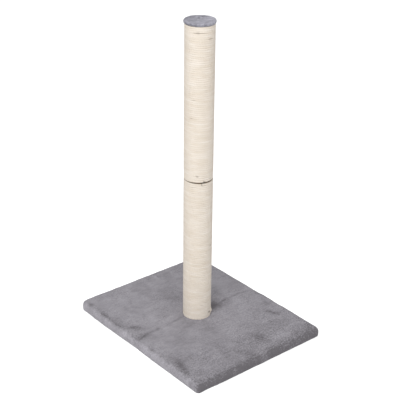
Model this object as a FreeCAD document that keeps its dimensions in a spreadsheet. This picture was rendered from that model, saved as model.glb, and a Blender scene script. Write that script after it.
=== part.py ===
import FreeCAD, Part
import math
import os
import Sketcher

from FreeCAD import Placement, Rotation, Vector

# A free-standing cat scratching post, in millimetres, +Z up.
# The origin is on the floor under the middle of the base. The short side of the base
# runs along X and the long side along Y. Two equal columns stand on the base: each is
# a cardboard tube with a wooden plug in both ends, wound with sisal rope. A bolt from
# below holds the lower column, a stud joins the upper column to it, and a round board
# covered in plush closes the top.

doc = FreeCAD.newDocument("CatScratchingPost")

SIZES = {
    # base board and its plush cover
    "board_width": 488.0,
    "board_length": 598.0,
    "board_thick": 18.0,
    "board_corner": 16.0,
    "plush_thick": 6.0,
    "hem_thick": 4.0,
    "hem_width": 42.0,
    "top_round": 9.0,
    "bottom_round": 5.0,
    "crease_place": 9.0,
    "crease_depth": 1.6,
    "crease_radius": 9.0,
    # where the post stands on the base, and how far it sinks into the plush
    "post_x": 6.0,
    "post_y": 12.0,
    "seat_depth": 2.0,
    "seat_clear": 0.4,
    # the two columns
    "column_length": 482.0,
    "tube_dia": 78.0,
    "tube_wall": 4.0,
    "plug_thick": 26.0,
    "plug_clear": 0.1,
    "seam_gap": 0.3,
    # sisal rope
    "rope_dia": 6.0,
    "turn_gap": 0.6,
    "rope_lift": 0.1,
    "rope_margin": 1.2,
    "end_turns": 3.0,
    "foot_end_angle": -60.0,
    "seam_end_angle": -112.0,
    # bolt, washer, stud and insert nuts
    "thread_dia": 8.0,
    "thread_clear": 0.05,
    "bolt_hole_dia": 9.0,
    "bolt_reach": 20.0,
    "bolt_head_flats": 13.0,
    "bolt_head_thick": 5.3,
    "washer_dia": 30.0,
    "washer_thick": 2.0,
    "recess_dia": 34.0,
    "recess_depth": 9.0,
    "stud_length": 50.0,
    "nut_dia": 12.0,
    "nut_flange_dia": 20.0,
    "nut_flange_thick": 1.5,
    # cap
    "cap_board_thick": 6.0,
    "cap_plush": 3.0,
    "cap_hem_thick": 2.0,
    "cap_hem_width": 13.0,
    "cap_top_round": 3.5,
    "cap_low_round": 1.5,
    "cap_screw_spread": 44.0,
    "cap_screw_dia": 4.0,
    "cap_screw_head_dia": 8.0,
    "cap_screw_head_thick": 2.6,
    "cap_screw_length": 28.0,
    "cap_screw_tip_dia": 1.0,
    # staples
    "staple_crown": 11.0,
    "staple_width": 1.2,
    "staple_thick": 0.7,
    "staple_leg": 9.0,
    "staple_spacing": 62.0,
    "staple_sink": 1.0,
    "hem_staple_inset": 25.0,
    "cap_staple_crown": 8.0,
    "cap_staple_leg": 5.0,
    "cap_staple_inset": 9.0,
    "rope_staple_leg": 8.5,
}

CAP_SCREWS = 2
CAP_STAPLES = 6
ROPE_SIDES = 6
TOP_ROUND_STEPS = 2
LOW_ROUND_STEPS = 1

sheet = doc.addObject("Spreadsheet::Sheet", "Sizes")
for row, (alias, value) in enumerate(SIZES.items(), start=1):
    sheet.set(f"A{row}", alias)
    sheet.set(f"B{row}", str(value))
    sheet.setAlias(f"B{row}", alias)
doc.recompute()


def size(alias):
    """The value of one size in the sheet."""
    return float(sheet.get(alias))


def origin_plane(body, role):
    """One of a body's own origin planes."""
    return next(f for f in body.Origin.OriginFeatures if f.Role == role)


def add_sketch(body, name, role, offset=None):
    """An empty sketch on an origin plane of the body, lifted by an expression."""
    sketch = body.newObject("Sketcher::SketchObject", name)
    sketch.AttachmentSupport = [(origin_plane(body, role), "")]
    sketch.MapMode = "FlatFace"
    if offset:
        sketch.setExpression("AttachmentOffset.Base.z", offset)
    return sketch


def worth(expression):
    """The value of an expression of the sheet, as a plain number."""
    value = sheet.evalExpression(expression)
    return float(getattr(value, "Value", value))


def constrain(sketch, kind, name, expression, *places):
    """A named dimension of the sketch, driven by the sheet."""
    dimension = Sketcher.Constraint(kind, *places, worth(expression))
    index = sketch.addConstraint(dimension)
    sketch.renameConstraint(index, name)
    sketch.setExpression(f"Constraints.{name}", expression)


def add_circle(sketch, name, diameter, x="0", y="0"):
    """A circle whose diameter and centre follow the sheet."""
    circle = sketch.addGeometry(Part.Circle(Vector(1, 1, 0), Vector(0, 0, 1), 10), False)
    constrain(sketch, "Diameter", f"{name}_dia", diameter, circle)
    if x == "0" and y == "0":
        sketch.addConstraint(Sketcher.Constraint("Coincident", circle, 3, -1, 1))
        return circle
    constrain(sketch, "DistanceX", f"{name}_x", x, -1, 1, circle, 3)
    constrain(sketch, "DistanceY", f"{name}_y", y, -1, 1, circle, 3)
    return circle


def add_rectangle(sketch, name, width, length):
    """A rectangle centred on the sketch's origin."""
    corners = [Vector(-50, -50, 0), Vector(50, -50, 0), Vector(50, 50, 0), Vector(-50, 50, 0)]
    first = sketch.GeometryCount
    for start, end in zip(corners, corners[1:] + corners[:1]):
        sketch.addGeometry(Part.LineSegment(start, end), False)
    for side in range(4):
        joined = Sketcher.Constraint("Coincident", first + side, 2, first + (side + 1) % 4, 1)
        sketch.addConstraint(joined)
    for side, direction in enumerate(("Horizontal", "Vertical", "Horizontal", "Vertical")):
        sketch.addConstraint(Sketcher.Constraint(direction, first + side))
    centred = Sketcher.Constraint("Symmetric", first, 1, first + 2, 1, -1, 1)
    sketch.addConstraint(centred)
    constrain(sketch, "DistanceX", f"{name}_width", width, first, 1, first, 2)
    constrain(sketch, "DistanceY", f"{name}_length", length, first + 1, 1, first + 1, 2)


def add_profile(sketch, name, corners):
    """A closed outline of straight lines, each corner held by two expressions."""
    spots = [Vector(worth(x), worth(y), 0) for x, y in corners]
    count = len(spots)
    for start, end in zip(spots, spots[1:] + spots[:1]):
        sketch.addGeometry(Part.LineSegment(start, end), False)
    for side, (x, y) in enumerate(corners):
        following = (side + 1) % count
        sketch.addConstraint(Sketcher.Constraint("Coincident", side, 2, following, 1))
        if x == "0":
            sketch.addConstraint(Sketcher.Constraint("PointOnObject", side, 1, -2))
        else:
            constrain(sketch, "DistanceX", f"{name}_x{side}", x, -1, 1, side, 1)
        if y == "0":
            sketch.addConstraint(Sketcher.Constraint("PointOnObject", side, 1, -1))
        else:
            constrain(sketch, "DistanceY", f"{name}_y{side}", y, -1, 1, side, 1)


def turn_round(body, sketch, name):
    """A full turn of the sketch about its upright axis."""
    turned = body.newObject("PartDesign::Revolution", name)
    turned.Profile = sketch
    turned.ReferenceAxis = (sketch, ["V_Axis"])
    turned.Angle = 360
    doc.recompute()
    return turned


def add_rounded_rectangle(sketch, name, width, length, radius):
    """A rectangle with round corners, centred on the sketch's origin."""
    half = 50.0
    round_by = 10.0
    flat = half - round_by
    first = sketch.GeometryCount
    for quarter in range(4):
        turn = Rotation(Vector(0, 0, 1), 90 * quarter)
        start = turn.multVec(Vector(-flat, -half, 0))
        end = turn.multVec(Vector(flat, -half, 0))
        centre = turn.multVec(Vector(flat, -flat, 0))
        sketch.addGeometry(Part.LineSegment(start, end), False)
        circle = Part.Circle(centre, Vector(0, 0, 1), round_by)
        begin = math.radians(90 * (quarter - 1))
        sketch.addGeometry(Part.ArcOfCircle(circle, begin, begin + math.pi / 2), False)
    for quarter in range(4):
        line = first + 2 * quarter
        arc = line + 1
        following = first + 2 * ((quarter + 1) % 4)
        sketch.addConstraint(Sketcher.Constraint("Tangent", line, 2, arc, 1))
        sketch.addConstraint(Sketcher.Constraint("Tangent", arc, 2, following, 1))
        direction = "Horizontal" if quarter % 2 == 0 else "Vertical"
        sketch.addConstraint(Sketcher.Constraint(direction, line))
    for quarter in range(3):
        arc = first + 2 * quarter + 1
        sketch.addConstraint(Sketcher.Constraint("Equal", arc, arc + 2))
    sketch.addConstraint(Sketcher.Constraint("Symmetric", first + 1, 3, first + 5, 3, -1, 1))
    constrain(sketch, "Radius", f"{name}_corner", radius, first + 1)
    constrain(sketch, "DistanceX", f"{name}_width", width, first + 6, 1, first + 2, 1)
    constrain(sketch, "DistanceY", f"{name}_length", length, first, 1, first + 4, 1)


def pad(body, sketch, name, length, reverse=False):
    """A pad of the sketch, with its length driven by the sheet."""
    feature = body.newObject("PartDesign::Pad", name)
    feature.Profile = sketch
    feature.Reversed = reverse
    feature.setExpression("Length", length)
    doc.recompute()
    return feature


def pocket(body, sketch, name, length=None, upward=False):
    """A pocket of the sketch that has to take material away."""
    before = body.Shape.Volume
    feature = body.newObject("PartDesign::Pocket", name)
    feature.Profile = sketch
    if length:
        feature.setExpression("Length", length)
        feature.Reversed = upward
    else:
        feature.Type = "ThroughAll"
        feature.Midplane = True
    doc.recompute()
    if not body.Shape.Volume < before - 1e-6:
        raise ValueError(f"{name} cuts nothing")
    return feature


def fillet(body, name, base, edges, radius):
    """A fillet along the given edges of a feature."""
    feature = body.newObject("PartDesign::Fillet", name)
    feature.Base = (base, edges)
    feature.setExpression("Radius", radius)
    doc.recompute()
    return feature


def edges_where(feature, test):
    """The names of a feature's edges for which the test holds."""
    return [f"Edge{n}" for n, edge in enumerate(feature.Shape.Edges, start=1) if test(edge)]


def is_level_at(height):
    """A test for edges that lie flat at one height."""

    def test(edge):
        box = edge.BoundBox
        return abs(box.ZMin - height) < 1e-6 and abs(box.ZMax - height) < 1e-6

    return test


def add_body(name):
    """An empty body with the name of its node."""
    body = doc.addObject("PartDesign::Body", name)
    body.Label = name
    return body


def place(item, x="0", y="0", z="0"):
    """Puts a sub-part where the sheet says."""
    item.setExpression("Placement.Base.x", x)
    item.setExpression("Placement.Base.y", y)
    item.setExpression("Placement.Base.z", z)


def add_group(name, shapes):
    """Separate solids that share one node, such as fasteners of one kind."""
    group = doc.addObject("Part::Feature", name)
    group.Label = name
    group.Shape = Part.makeCompound(shapes)
    return group


# Heights that several pieces share, as expressions of the sheet.
BOARD_TOP = "(Sizes.hem_thick + Sizes.board_thick)"
PLUSH_TOP = f"({BOARD_TOP} + Sizes.plush_thick)"
FOOT = f"({PLUSH_TOP} - Sizes.seat_depth)"
SEAM = f"({FOOT} + Sizes.column_length)"
UPPER_FOOT = f"({SEAM} + Sizes.seam_gap)"
UPPER_TOP = f"({UPPER_FOOT} + Sizes.column_length)"
CAP_FOOT = f"({UPPER_TOP} + Sizes.cap_hem_thick)"
CAP_RIM = "(Sizes.tube_dia / 2 + Sizes.rope_dia)"
BOLT_SEAT = "(Sizes.hem_thick + Sizes.recess_depth - Sizes.washer_thick)"
COVER_WIDTH = "(Sizes.board_width + 2 * Sizes.plush_thick)"
COVER_LENGTH = "(Sizes.board_length + 2 * Sizes.plush_thick)"
BOARD_OUTLINE = ("Sizes.board_width", "Sizes.board_length", "Sizes.board_corner")
POST = {"x": "Sizes.post_x", "y": "Sizes.post_y"}

board_top = size("hem_thick") + size("board_thick")
foot = board_top + size("plush_thick") - size("seat_depth")
seam = foot + size("column_length")
upper_foot = seam + size("seam_gap")
upper_top = upper_foot + size("column_length")
cap_foot = upper_top + size("cap_hem_thick")
cap_rim = size("tube_dia") / 2 + size("rope_dia")
post = Vector(size("post_x"), size("post_y"), 0)
rope_radius = size("tube_dia") / 2 + size("rope_lift") + size("rope_dia") / 2


def make_base_board():
    """The chipboard panel, drilled for the bolt and counterbored from below."""
    body = add_body("base_board")
    outline = add_sketch(body, "board_outline", "XY_Plane")
    add_rounded_rectangle(outline, "board", *BOARD_OUTLINE)
    pad(body, outline, "board_panel", "Sizes.board_thick")
    hole = add_sketch(body, "board_bolt_hole", "XY_Plane")
    add_circle(hole, "bolt_hole", "Sizes.bolt_hole_dia", **POST)
    pocket(body, hole, "board_bolt_drilling", "Sizes.board_thick", upward=True)
    recess = add_sketch(body, "board_recess_circle", "XY_Plane")
    add_circle(recess, "recess", "Sizes.recess_dia", **POST)
    pocket(body, recess, "board_recess", "Sizes.recess_depth", upward=True)
    place(body, z="Sizes.hem_thick")
    return body


def hem_staple_places():
    """Where the hem staples lie: (x, y, angle) along the middle of the hem's four sides."""
    inset = size("hem_staple_inset")
    half_x = size("board_width") / 2 - inset
    half_y = size("board_length") / 2 - inset
    places = []
    for half_run, half_across, angle in ((half_x, half_y, 0.0), (half_y, half_x, 90.0)):
        count = max(2, round(2 * half_run / size("staple_spacing")))
        step = 2 * half_run / count
        for n in range(count):
            along = -half_run + step * (n + 0.5)
            for side in (-1, 1):
                spot = Rotation(Vector(0, 0, 1), angle).multVec(Vector(along, side * half_across, 0))
                places.append((spot.x, spot.y, angle))
    return places


def make_base_plush_cover():
    """The plush sheet round the board: top, four sides and a hem folded under."""
    body = add_body("base_plush_cover")
    outline = add_sketch(body, "cover_outline", "XY_Plane")
    corner = "Sizes.board_corner + Sizes.plush_thick"
    add_rounded_rectangle(outline, "cover", COVER_WIDTH, COVER_LENGTH, corner)
    block = pad(body, outline, "cover_block", PLUSH_TOP)
    top = board_top + size("plush_thick")
    top_edges = edges_where(block, is_level_at(top))
    soft_top = fillet(body, "cover_top_edge", block, top_edges[:1], "Sizes.top_round")
    low_edges = edges_where(soft_top, is_level_at(0.0))
    fillet(body, "cover_low_edge", soft_top, low_edges[:1], "Sizes.bottom_round")

    board_space = add_sketch(body, "cover_board_outline", "XY_Plane", "Sizes.hem_thick")
    add_rounded_rectangle(board_space, "space", *BOARD_OUTLINE)
    pocket(body, board_space, "cover_board_space", "Sizes.board_thick", upward=True)
    window = add_sketch(body, "hem_window_outline", "XY_Plane")
    add_rectangle(
        window,
        "window",
        f"{COVER_WIDTH} - 2 * Sizes.hem_width",
        f"{COVER_LENGTH} - 2 * Sizes.hem_width",
    )
    pocket(body, window, "hem_window", "Sizes.hem_thick", upward=True)
    seat = add_sketch(body, "post_seat_circle", "XY_Plane", PLUSH_TOP)
    seat_dia = "Sizes.tube_dia + 2 * (Sizes.rope_dia + Sizes.rope_lift + Sizes.seat_clear)"
    add_circle(seat, "seat", seat_dia, **POST)
    pocket(body, seat, "post_seat", "Sizes.seat_depth")
    hole = add_sketch(body, "cover_bolt_circle", "XY_Plane", PLUSH_TOP)
    add_circle(hole, "cover_bolt", "Sizes.bolt_hole_dia", **POST)
    pocket(body, hole, "cover_bolt_hole", "Sizes.plush_thick")

    dimples = add_sketch(body, "staple_dimples", "XY_Plane")
    half_long = size("staple_crown") / 2 + size("staple_width")
    half_wide = 1.5 * size("staple_width")
    for x, y, angle in hem_staple_places():
        turn = Rotation(Vector(0, 0, 1), angle)
        spots = [
            Vector(x, y, 0) + turn.multVec(Vector(sx * half_long, sy * half_wide, 0))
            for sx, sy in ((-1, -1), (1, -1), (1, 1), (-1, 1))
        ]
        for start, end in zip(spots, spots[1:] + spots[:1]):
            dimples.addGeometry(Part.LineSegment(start, end), False)
    pocket(body, dimples, "staple_dimple_cut", "Sizes.staple_sink + Sizes.staple_thick", upward=True)

    # the crease across the middle of the long side: a shallow round channel over the top
    # and down both sides
    lift = "Sizes.crease_radius - Sizes.crease_depth"
    over = add_sketch(body, "crease_over", "YZ_Plane")
    add_circle(over, "crease", "2 * Sizes.crease_radius", "Sizes.crease_place", f"{PLUSH_TOP} + {lift}")
    pocket(body, over, "crease_top")
    for side, sign in (("left", "-"), ("right", "")):
        down = add_sketch(body, f"crease_down_{side}", "XY_Plane")
        place_x = f"{sign}({COVER_WIDTH} / 2 + {lift})"
        add_circle(down, f"crease_{side}", "2 * Sizes.crease_radius", place_x, "Sizes.crease_place")
        pocket(body, down, f"crease_side_{side}", PLUSH_TOP, upward=True)
    return body


def staple(crown, leg):
    """One U-shaped staple, crown down at z = 0 with its legs up, centred on the crown."""
    width = size("staple_width")
    thick = size("staple_thick")
    bar = Part.makeBox(crown, width, thick, Vector(-crown / 2, -width / 2, 0))
    legs = [
        Part.makeBox(thick, width, leg, Vector(x, -width / 2, 0))
        for x in (-crown / 2, crown / 2 - thick)
    ]
    return bar.fuse(legs).removeSplitter()


def make_base_hem_staples():
    """The staples that hold the folded hem to the underside of the board."""
    one = staple(size("staple_crown"), size("staple_leg"))
    shapes = []
    for x, y, angle in hem_staple_places():
        copy = one.copy()
        copy.Placement = Placement(Vector(x, y, size("staple_sink")), Rotation(Vector(0, 0, 1), angle))
        shapes.append(copy)
    return add_group("base_hem_staples", shapes)


def make_base_bolt():
    """The hexagon bolt that goes up through the board into the lower column."""
    body = add_body("base_bolt")
    hexagon = add_sketch(body, "bolt_head_hexagon", "XY_Plane")
    corner = size("bolt_head_flats") / math.sqrt(3)
    points = [
        Vector(corner * math.cos(math.radians(60 * n)), corner * math.sin(math.radians(60 * n)), 0)
        for n in range(6)
    ]
    for start, end in zip(points, points[1:] + points[:1]):
        hexagon.addGeometry(Part.LineSegment(start, end), False)
    for side in range(6):
        hexagon.addConstraint(Sketcher.Constraint("Coincident", side, 2, (side + 1) % 6, 1))
    circle = hexagon.addGeometry(Part.Circle(Vector(0, 0, 0), Vector(0, 0, 1), corner), True)
    hexagon.addConstraint(Sketcher.Constraint("Coincident", circle, 3, -1, 1))
    for side in range(6):
        hexagon.addConstraint(Sketcher.Constraint("PointOnObject", side, 1, circle))
    for side in range(5):
        hexagon.addConstraint(Sketcher.Constraint("Equal", side, side + 1))
    hexagon.addConstraint(Sketcher.Constraint("PointOnObject", 0, 1, -1))
    constrain(hexagon, "Diameter", "corners", "Sizes.bolt_head_flats / cos(30)", circle)
    pad(body, hexagon, "bolt_head", "Sizes.bolt_head_thick", reverse=True)
    shank = add_sketch(body, "bolt_shank_circle", "XY_Plane")
    add_circle(shank, "shank", "Sizes.thread_dia")
    reach = f"{FOOT} + Sizes.bolt_reach - {BOLT_SEAT}"
    pad(body, shank, "bolt_shank", reach)
    place(body, z=BOLT_SEAT, **POST)
    return body


def make_base_washer():
    """The wide washer under the bolt's head, against the bottom of the recess."""
    body = add_body("base_washer")
    ring = add_sketch(body, "washer_circles", "XY_Plane")
    add_circle(ring, "rim", "Sizes.washer_dia")
    add_circle(ring, "bore", "Sizes.bolt_hole_dia")
    pad(body, ring, "washer_ring", "Sizes.washer_thick")
    place(body, z=BOLT_SEAT, **POST)
    return body


def make_tube(name, height):
    """A column's cardboard winding tube."""
    body = add_body(name)
    ring = add_sketch(body, f"{name}_circles", "XY_Plane")
    add_circle(ring, "outside", "Sizes.tube_dia")
    add_circle(ring, "inside", "Sizes.tube_dia - 2 * Sizes.tube_wall")
    pad(body, ring, f"{name}_wall", "Sizes.column_length")
    place(body, z=height, **POST)
    return body


def make_plug(name, height, bored=True):
    """A wooden plug for a tube's end, bored for its insert nut."""
    body = add_body(name)
    disc = add_sketch(body, f"{name}_circle", "XY_Plane")
    add_circle(disc, "rim", "Sizes.tube_dia - 2 * Sizes.tube_wall - 2 * Sizes.plug_clear")
    pad(body, disc, f"{name}_block", "Sizes.plug_thick")
    if bored:
        hole = add_sketch(body, f"{name}_bore_circle", "XY_Plane")
        add_circle(hole, "bore", "Sizes.nut_dia")
        pocket(body, hole, f"{name}_bore", "Sizes.plug_thick", upward=True)
    place(body, z=height, **POST)
    return body


def make_insert_nut(name, height, flange_up):
    """A flanged insert nut through the plug, its flange on the plug's inner face."""
    body = add_body(name)
    profile = add_sketch(body, f"{name}_profile", "XZ_Plane")
    bore = "Sizes.thread_dia / 2 + Sizes.thread_clear"
    barrel = "Sizes.nut_dia / 2"
    flange = "Sizes.nut_flange_dia / 2"
    top = "Sizes.plug_thick + Sizes.nut_flange_thick"
    outline = [
        (bore, "0"),
        (barrel, "0"),
        (barrel, "Sizes.plug_thick"),
        (flange, "Sizes.plug_thick"),
        (flange, top),
        (bore, top),
    ]
    add_profile(profile, "nut", outline)
    turn_round(body, profile, f"{name}_turned")
    place(body, z=height, **POST)
    if not flange_up:
        body.Placement.Rotation = Rotation(Vector(1, 0, 0), 180)
    return body


def make_connecting_stud():
    """The threaded stud that joins the two columns at the seam."""
    body = add_body("connecting_stud")
    circle = add_sketch(body, "stud_circle", "XY_Plane")
    add_circle(circle, "stud", "Sizes.thread_dia")
    pad(body, circle, "stud_rod", "Sizes.stud_length")
    middle = f"{SEAM} + Sizes.seam_gap / 2 - Sizes.stud_length / 2"
    place(body, z=middle, **POST)
    return body


def half_arcs(start, start_way, end, end_way):
    """Two arcs that join smoothly from one point and direction to another."""
    span = end - start
    both = start_way + end_way
    square = both.dot(both) - 4
    cross = span.dot(both)
    reach = (cross - math.sqrt(cross * cross - square * span.dot(span))) / square
    joint = (start + start_way * reach + end - end_way * reach) * 0.5
    way = (end - end_way * reach - start - start_way * reach).normalize()
    arcs = []
    for first, first_way, last in ((start, start_way, joint), (joint, way, end)):
        chord = last - first
        inward = chord - first_way * chord.dot(first_way)
        radius = chord.dot(chord) / (2 * inward.Length)
        centre = first + inward.normalize() * radius
        middle = (first + last) * 0.5 - centre
        arcs.append(Part.Arc(first, centre + middle.normalize() * radius, last).toShape())
    return arcs


def winding_path():
    """The rope's centre line for the turns at one end of a column.

    It starts at the column's end and runs straight for one rope diameter. Each turn is
    then level for three quarters and climbs to the next in the last quarter. The last
    stretch is straight again and meets the closed part of the winding squarely. The rope
    is wound clockwise, seen from above. Returns the wire and points along it.
    """
    pitch = size("rope_dia") + size("turn_gap")
    run = size("rope_dia")
    low = size("rope_margin") + size("rope_dia") / 2
    radius = rope_radius
    edges = [Part.makeLine(Vector(radius, run, low), Vector(radius, 0, low))]
    for turn in range(round(size("end_turns"))):
        z = low + turn * pitch
        here = Vector(radius, 0, z)
        there = Vector(-radius, 0, z)
        foot_of_climb = Vector(0, radius, z)
        level = Part.Arc(here, Vector(0, -radius, z), there)
        diagonal = radius * math.sqrt(0.5)
        more = Part.Arc(there, Vector(-diagonal, diagonal, z), foot_of_climb)
        above = Vector(radius, 0, z + pitch)
        edges += [level.toShape(), more.toShape()]
        edges += half_arcs(foot_of_climb, Vector(1, 0, 0), above, Vector(0, -1, 0))
    last = low + round(size("end_turns")) * pitch
    edges.append(Part.makeLine(Vector(radius, 0, last), Vector(radius, -run, last)))
    points = []
    for edge in edges:
        count = max(3, round(edge.Length / 2))
        points += edge.discretize(count)[:-1]
    return Part.Wire(edges), points


def least_gap(points):
    """The least distance between stretches of the rope that aren't beside each other."""
    near = 2 * size("rope_dia")
    along = [0.0]
    for one, other in zip(points, points[1:]):
        along.append(along[-1] + one.distanceToPoint(other))
    least = float("inf")
    for n, one in enumerate(points):
        for m in range(n + 1, len(points)):
            if along[m] - along[n] > near:
                least = min(least, one.distanceToPoint(points[m]))
    return least - size("rope_dia")


def make_end_turns():
    """The turns of rope at one end of a column, as one unbroken tube with flat sides."""
    wire, points = winding_path()
    half = size("rope_dia") / 2
    start = Vector(rope_radius, size("rope_dia"), size("rope_margin") + half)
    corners = []
    for n in range(ROPE_SIDES + 1):
        angle = 2 * math.pi * (n + 0.5) / ROPE_SIDES
        corners.append(start + Vector(half * math.cos(angle), 0, half * math.sin(angle)))
    shell = Part.BRepOffsetAPI.MakePipeShell(wire)
    shell.add(Part.makePolygon(corners))
    shell.build()
    shell.makeSolid()
    turns = shell.shape()
    gap = least_gap(points)
    print(f"rope turns: {size('end_turns'):.0f} a side, least gap to itself {gap:.3f} mm")
    return turns


def sleeve_end_tool():
    """What is taken off the closed part of the winding where the rope's turns meet it.

    Over the climbing quarter its end face climbs too, and where the rope's straight end
    meets it there is a step as high as one turn.
    """
    pitch = size("rope_dia") + size("turn_gap")
    run = size("rope_dia")
    out = rope_radius + size("rope_dia")
    rise = pitch * out / rope_radius
    corners = [Vector(0, 0, 0), Vector(out, 0, rise), Vector(out, 0, 0), Vector(0, 0, 0)]
    ramp = Part.Face(Part.makePolygon(corners)).extrude(Vector(0, out, 0))
    step = Part.makeBox(out, run, pitch, Vector(0, -run, 0))
    return ramp.fuse(step)


def make_rope(name, height, foot_angle, top_angle):
    """A column's winding: the closed middle and the open turns at both ends."""
    pitch = size("rope_dia") + size("turn_gap")
    turns = round(size("end_turns"))
    start = size("rope_margin") + turns * pitch
    length = size("column_length")
    inner = size("tube_dia") / 2 + size("rope_lift")
    outer = inner + size("rope_dia")
    sleeve = Part.makeCylinder(outer, length - 2 * start, Vector(0, 0, start))
    sleeve = sleeve.cut(Part.makeCylinder(inner, length))
    end = make_end_turns()
    tool = sleeve_end_tool()
    tool.translate(Vector(0, 0, start))
    foot_turn = Placement(Vector(), Rotation(Vector(0, 0, 1), foot_angle))
    flipped = Placement(Vector(0, 0, length), Rotation(Vector(1, 0, 0), 180))
    top_turn = Placement(Vector(), Rotation(Vector(0, 0, 1), top_angle)).multiply(flipped)
    pieces = []
    for turn in (foot_turn, top_turn):
        cutter = tool.copy()
        cutter.Placement = turn.multiply(cutter.Placement)
        sleeve = sleeve.cut(cutter)
        winding = end.copy()
        winding.Placement = turn.multiply(winding.Placement)
        pieces.append(winding)
    rope = add_group(name, [sleeve] + pieces)
    rope.Placement = Placement(post + Vector(0, 0, height), Rotation())
    return rope


def make_rope_staples(name, height, foot_angle, top_angle):
    """The staples over the rope's two ends, driven through the tube's wall."""
    one = staple(size("rope_dia") + 2 * size("staple_thick"), size("rope_staple_leg"))
    # a staple lies across the rope with its crown outside and its legs towards the axis
    inward = Rotation(Vector(0, 1, 0), -90)
    outside = rope_radius + size("rope_dia") / 2 + size("staple_thick") / 2
    low = size("rope_margin") + size("rope_dia") / 2
    shapes = []
    for angle, z in ((foot_angle, low), (top_angle, size("column_length") - low)):
        copy = one.copy()
        lean = math.degrees(math.atan2(size("rope_dia") / 2, rope_radius))
        spin = Rotation(Vector(0, 0, 1), angle - lean if z > low else angle + lean)
        spot = spin.multVec(Vector(outside, 0, z))
        copy.Placement = Placement(spot, spin.multiply(inward))
        shapes.append(copy)
    staples = add_group(name, shapes)
    staples.Placement = Placement(post + Vector(0, 0, height), Rotation())
    return staples


def cap_screw_places():
    """Where the cap's screws go through its board."""
    reach = size("cap_screw_spread") / 2
    angles = [2 * math.pi * n / CAP_SCREWS for n in range(CAP_SCREWS)]
    return [Vector(reach * math.cos(a), reach * math.sin(a), 0) for a in angles]


def cap_screw():
    """A countersunk wood screw, point down, with its head's top face at z = 0."""
    radius = size("cap_screw_dia") / 2
    head = size("cap_screw_head_dia") / 2
    deep = size("cap_screw_head_thick")
    length = size("cap_screw_length")
    tip = size("cap_screw_tip_dia") / 2
    point = 2 * (radius - tip)
    profile = [
        Vector(0, 0, 0),
        Vector(head, 0, 0),
        Vector(radius, 0, -deep),
        Vector(radius, 0, point - length),
        Vector(tip, 0, -length),
        Vector(0, 0, -length),
        Vector(0, 0, 0),
    ]
    face = Part.Face(Part.makePolygon(profile))
    return face.revolve(Vector(), Vector(0, 0, 1), 360)


def make_cap_screws():
    """The screws that hold the cap's board to the plug in the top of the upper tube."""
    top = cap_foot + size("cap_board_thick")
    shapes = []
    for spot in cap_screw_places():
        screw = cap_screw()
        screw.Placement = Placement(post + spot + Vector(0, 0, top), Rotation())
        shapes.append(screw)
    return add_group("cap_screws", shapes)


def make_cap_board():
    """The round board under the cap's plush, countersunk for its screws."""
    body = add_body("cap_board")
    disc = add_sketch(body, "cap_board_circle", "XY_Plane")
    add_circle(disc, "rim", f"2 * {CAP_RIM}")
    pad(body, disc, "cap_board_disc", "Sizes.cap_board_thick")
    before = body.Shape.Volume
    spots = add_sketch(body, "cap_screw_spots", "XY_Plane", "Sizes.cap_board_thick")
    for n in range(CAP_SCREWS):
        x = f"Sizes.cap_screw_spread / 2 * cos({360 * n / CAP_SCREWS})"
        add_circle(spots, f"screw_{n}", "Sizes.cap_screw_dia", x, "0")
    doc.recompute()
    holes = body.newObject("PartDesign::Hole", "cap_screw_holes")
    holes.Profile = spots
    holes.DepthType = "ThroughAll"
    holes.HoleCutType = "Countersink"
    holes.HoleCutCustomValues = True
    holes.setExpression("Diameter", "Sizes.cap_screw_dia")
    holes.setExpression("HoleCutDiameter", "Sizes.cap_screw_head_dia")
    flare = "(Sizes.cap_screw_head_dia - Sizes.cap_screw_dia) / 2 / Sizes.cap_screw_head_thick"
    holes.setExpression("HoleCutCountersinkAngle", f"2 * atan({flare})")
    doc.recompute()
    if not body.Shape.Volume < before - 1e-6:
        raise ValueError("cap_screw_holes cut nothing")
    place(body, z=CAP_FOOT, **POST)
    return body


def quarter_round(centre_x, centre_y, radius, low_angle, steps):
    """Corners along a quarter circle, as pairs of expressions, counted in steps."""
    angles = [low_angle + 90 * n / steps for n in range(steps + 1)]
    return [
        (f"{centre_x} + {radius} * cos({angle})", f"{centre_y} + {radius} * sin({angle})")
        for angle in angles
    ]


def make_cap_plush_cover():
    """The plush drawn over the cap's board and gathered under its rim."""
    body = add_body("cap_plush_cover")
    profile = add_sketch(body, "cap_cover_profile", "XZ_Plane")
    rim = f"({CAP_RIM} + Sizes.cap_plush)"
    under = "(Sizes.cap_hem_thick + Sizes.cap_board_thick)"
    top = f"({under} + Sizes.cap_plush)"
    low = "Sizes.cap_low_round"
    high = "Sizes.cap_top_round"
    window = f"{CAP_RIM} - Sizes.cap_hem_width"
    outline = [(window, "0")]
    outline += quarter_round(f"{rim} - {low}", low, low, -90, LOW_ROUND_STEPS)
    outline += quarter_round(f"{rim} - {high}", f"{top} - {high}", high, 0, TOP_ROUND_STEPS)
    outline += [
        ("0", top),
        ("0", under),
        (CAP_RIM, under),
        (CAP_RIM, "Sizes.cap_hem_thick"),
        (window, "Sizes.cap_hem_thick"),
    ]
    add_profile(profile, "cover", outline)
    turn_round(body, profile, "cap_cover_turned")
    place(body, z=UPPER_TOP, **POST)
    return body


def make_cap_hem_staples():
    """The staples that hold the gathered plush under the cap's board."""
    one = staple(size("cap_staple_crown"), size("cap_staple_leg"))
    reach = cap_rim - size("cap_staple_inset")
    shapes = []
    for n in range(CAP_STAPLES):
        spin = Rotation(Vector(0, 0, 1), 360 * (n + 0.5) / CAP_STAPLES)
        spot = post + spin.multVec(Vector(reach, 0, upper_top + size("staple_thick")))
        copy = one.copy()
        copy.Placement = Placement(spot, spin.multiply(Rotation(Vector(0, 0, 1), 90)))
        shapes.append(copy)
    return add_group("cap_hem_staples", shapes)


foot_end = size("foot_end_angle")
seam_end = size("seam_end_angle")
top_end = foot_end + 180.0

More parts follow.
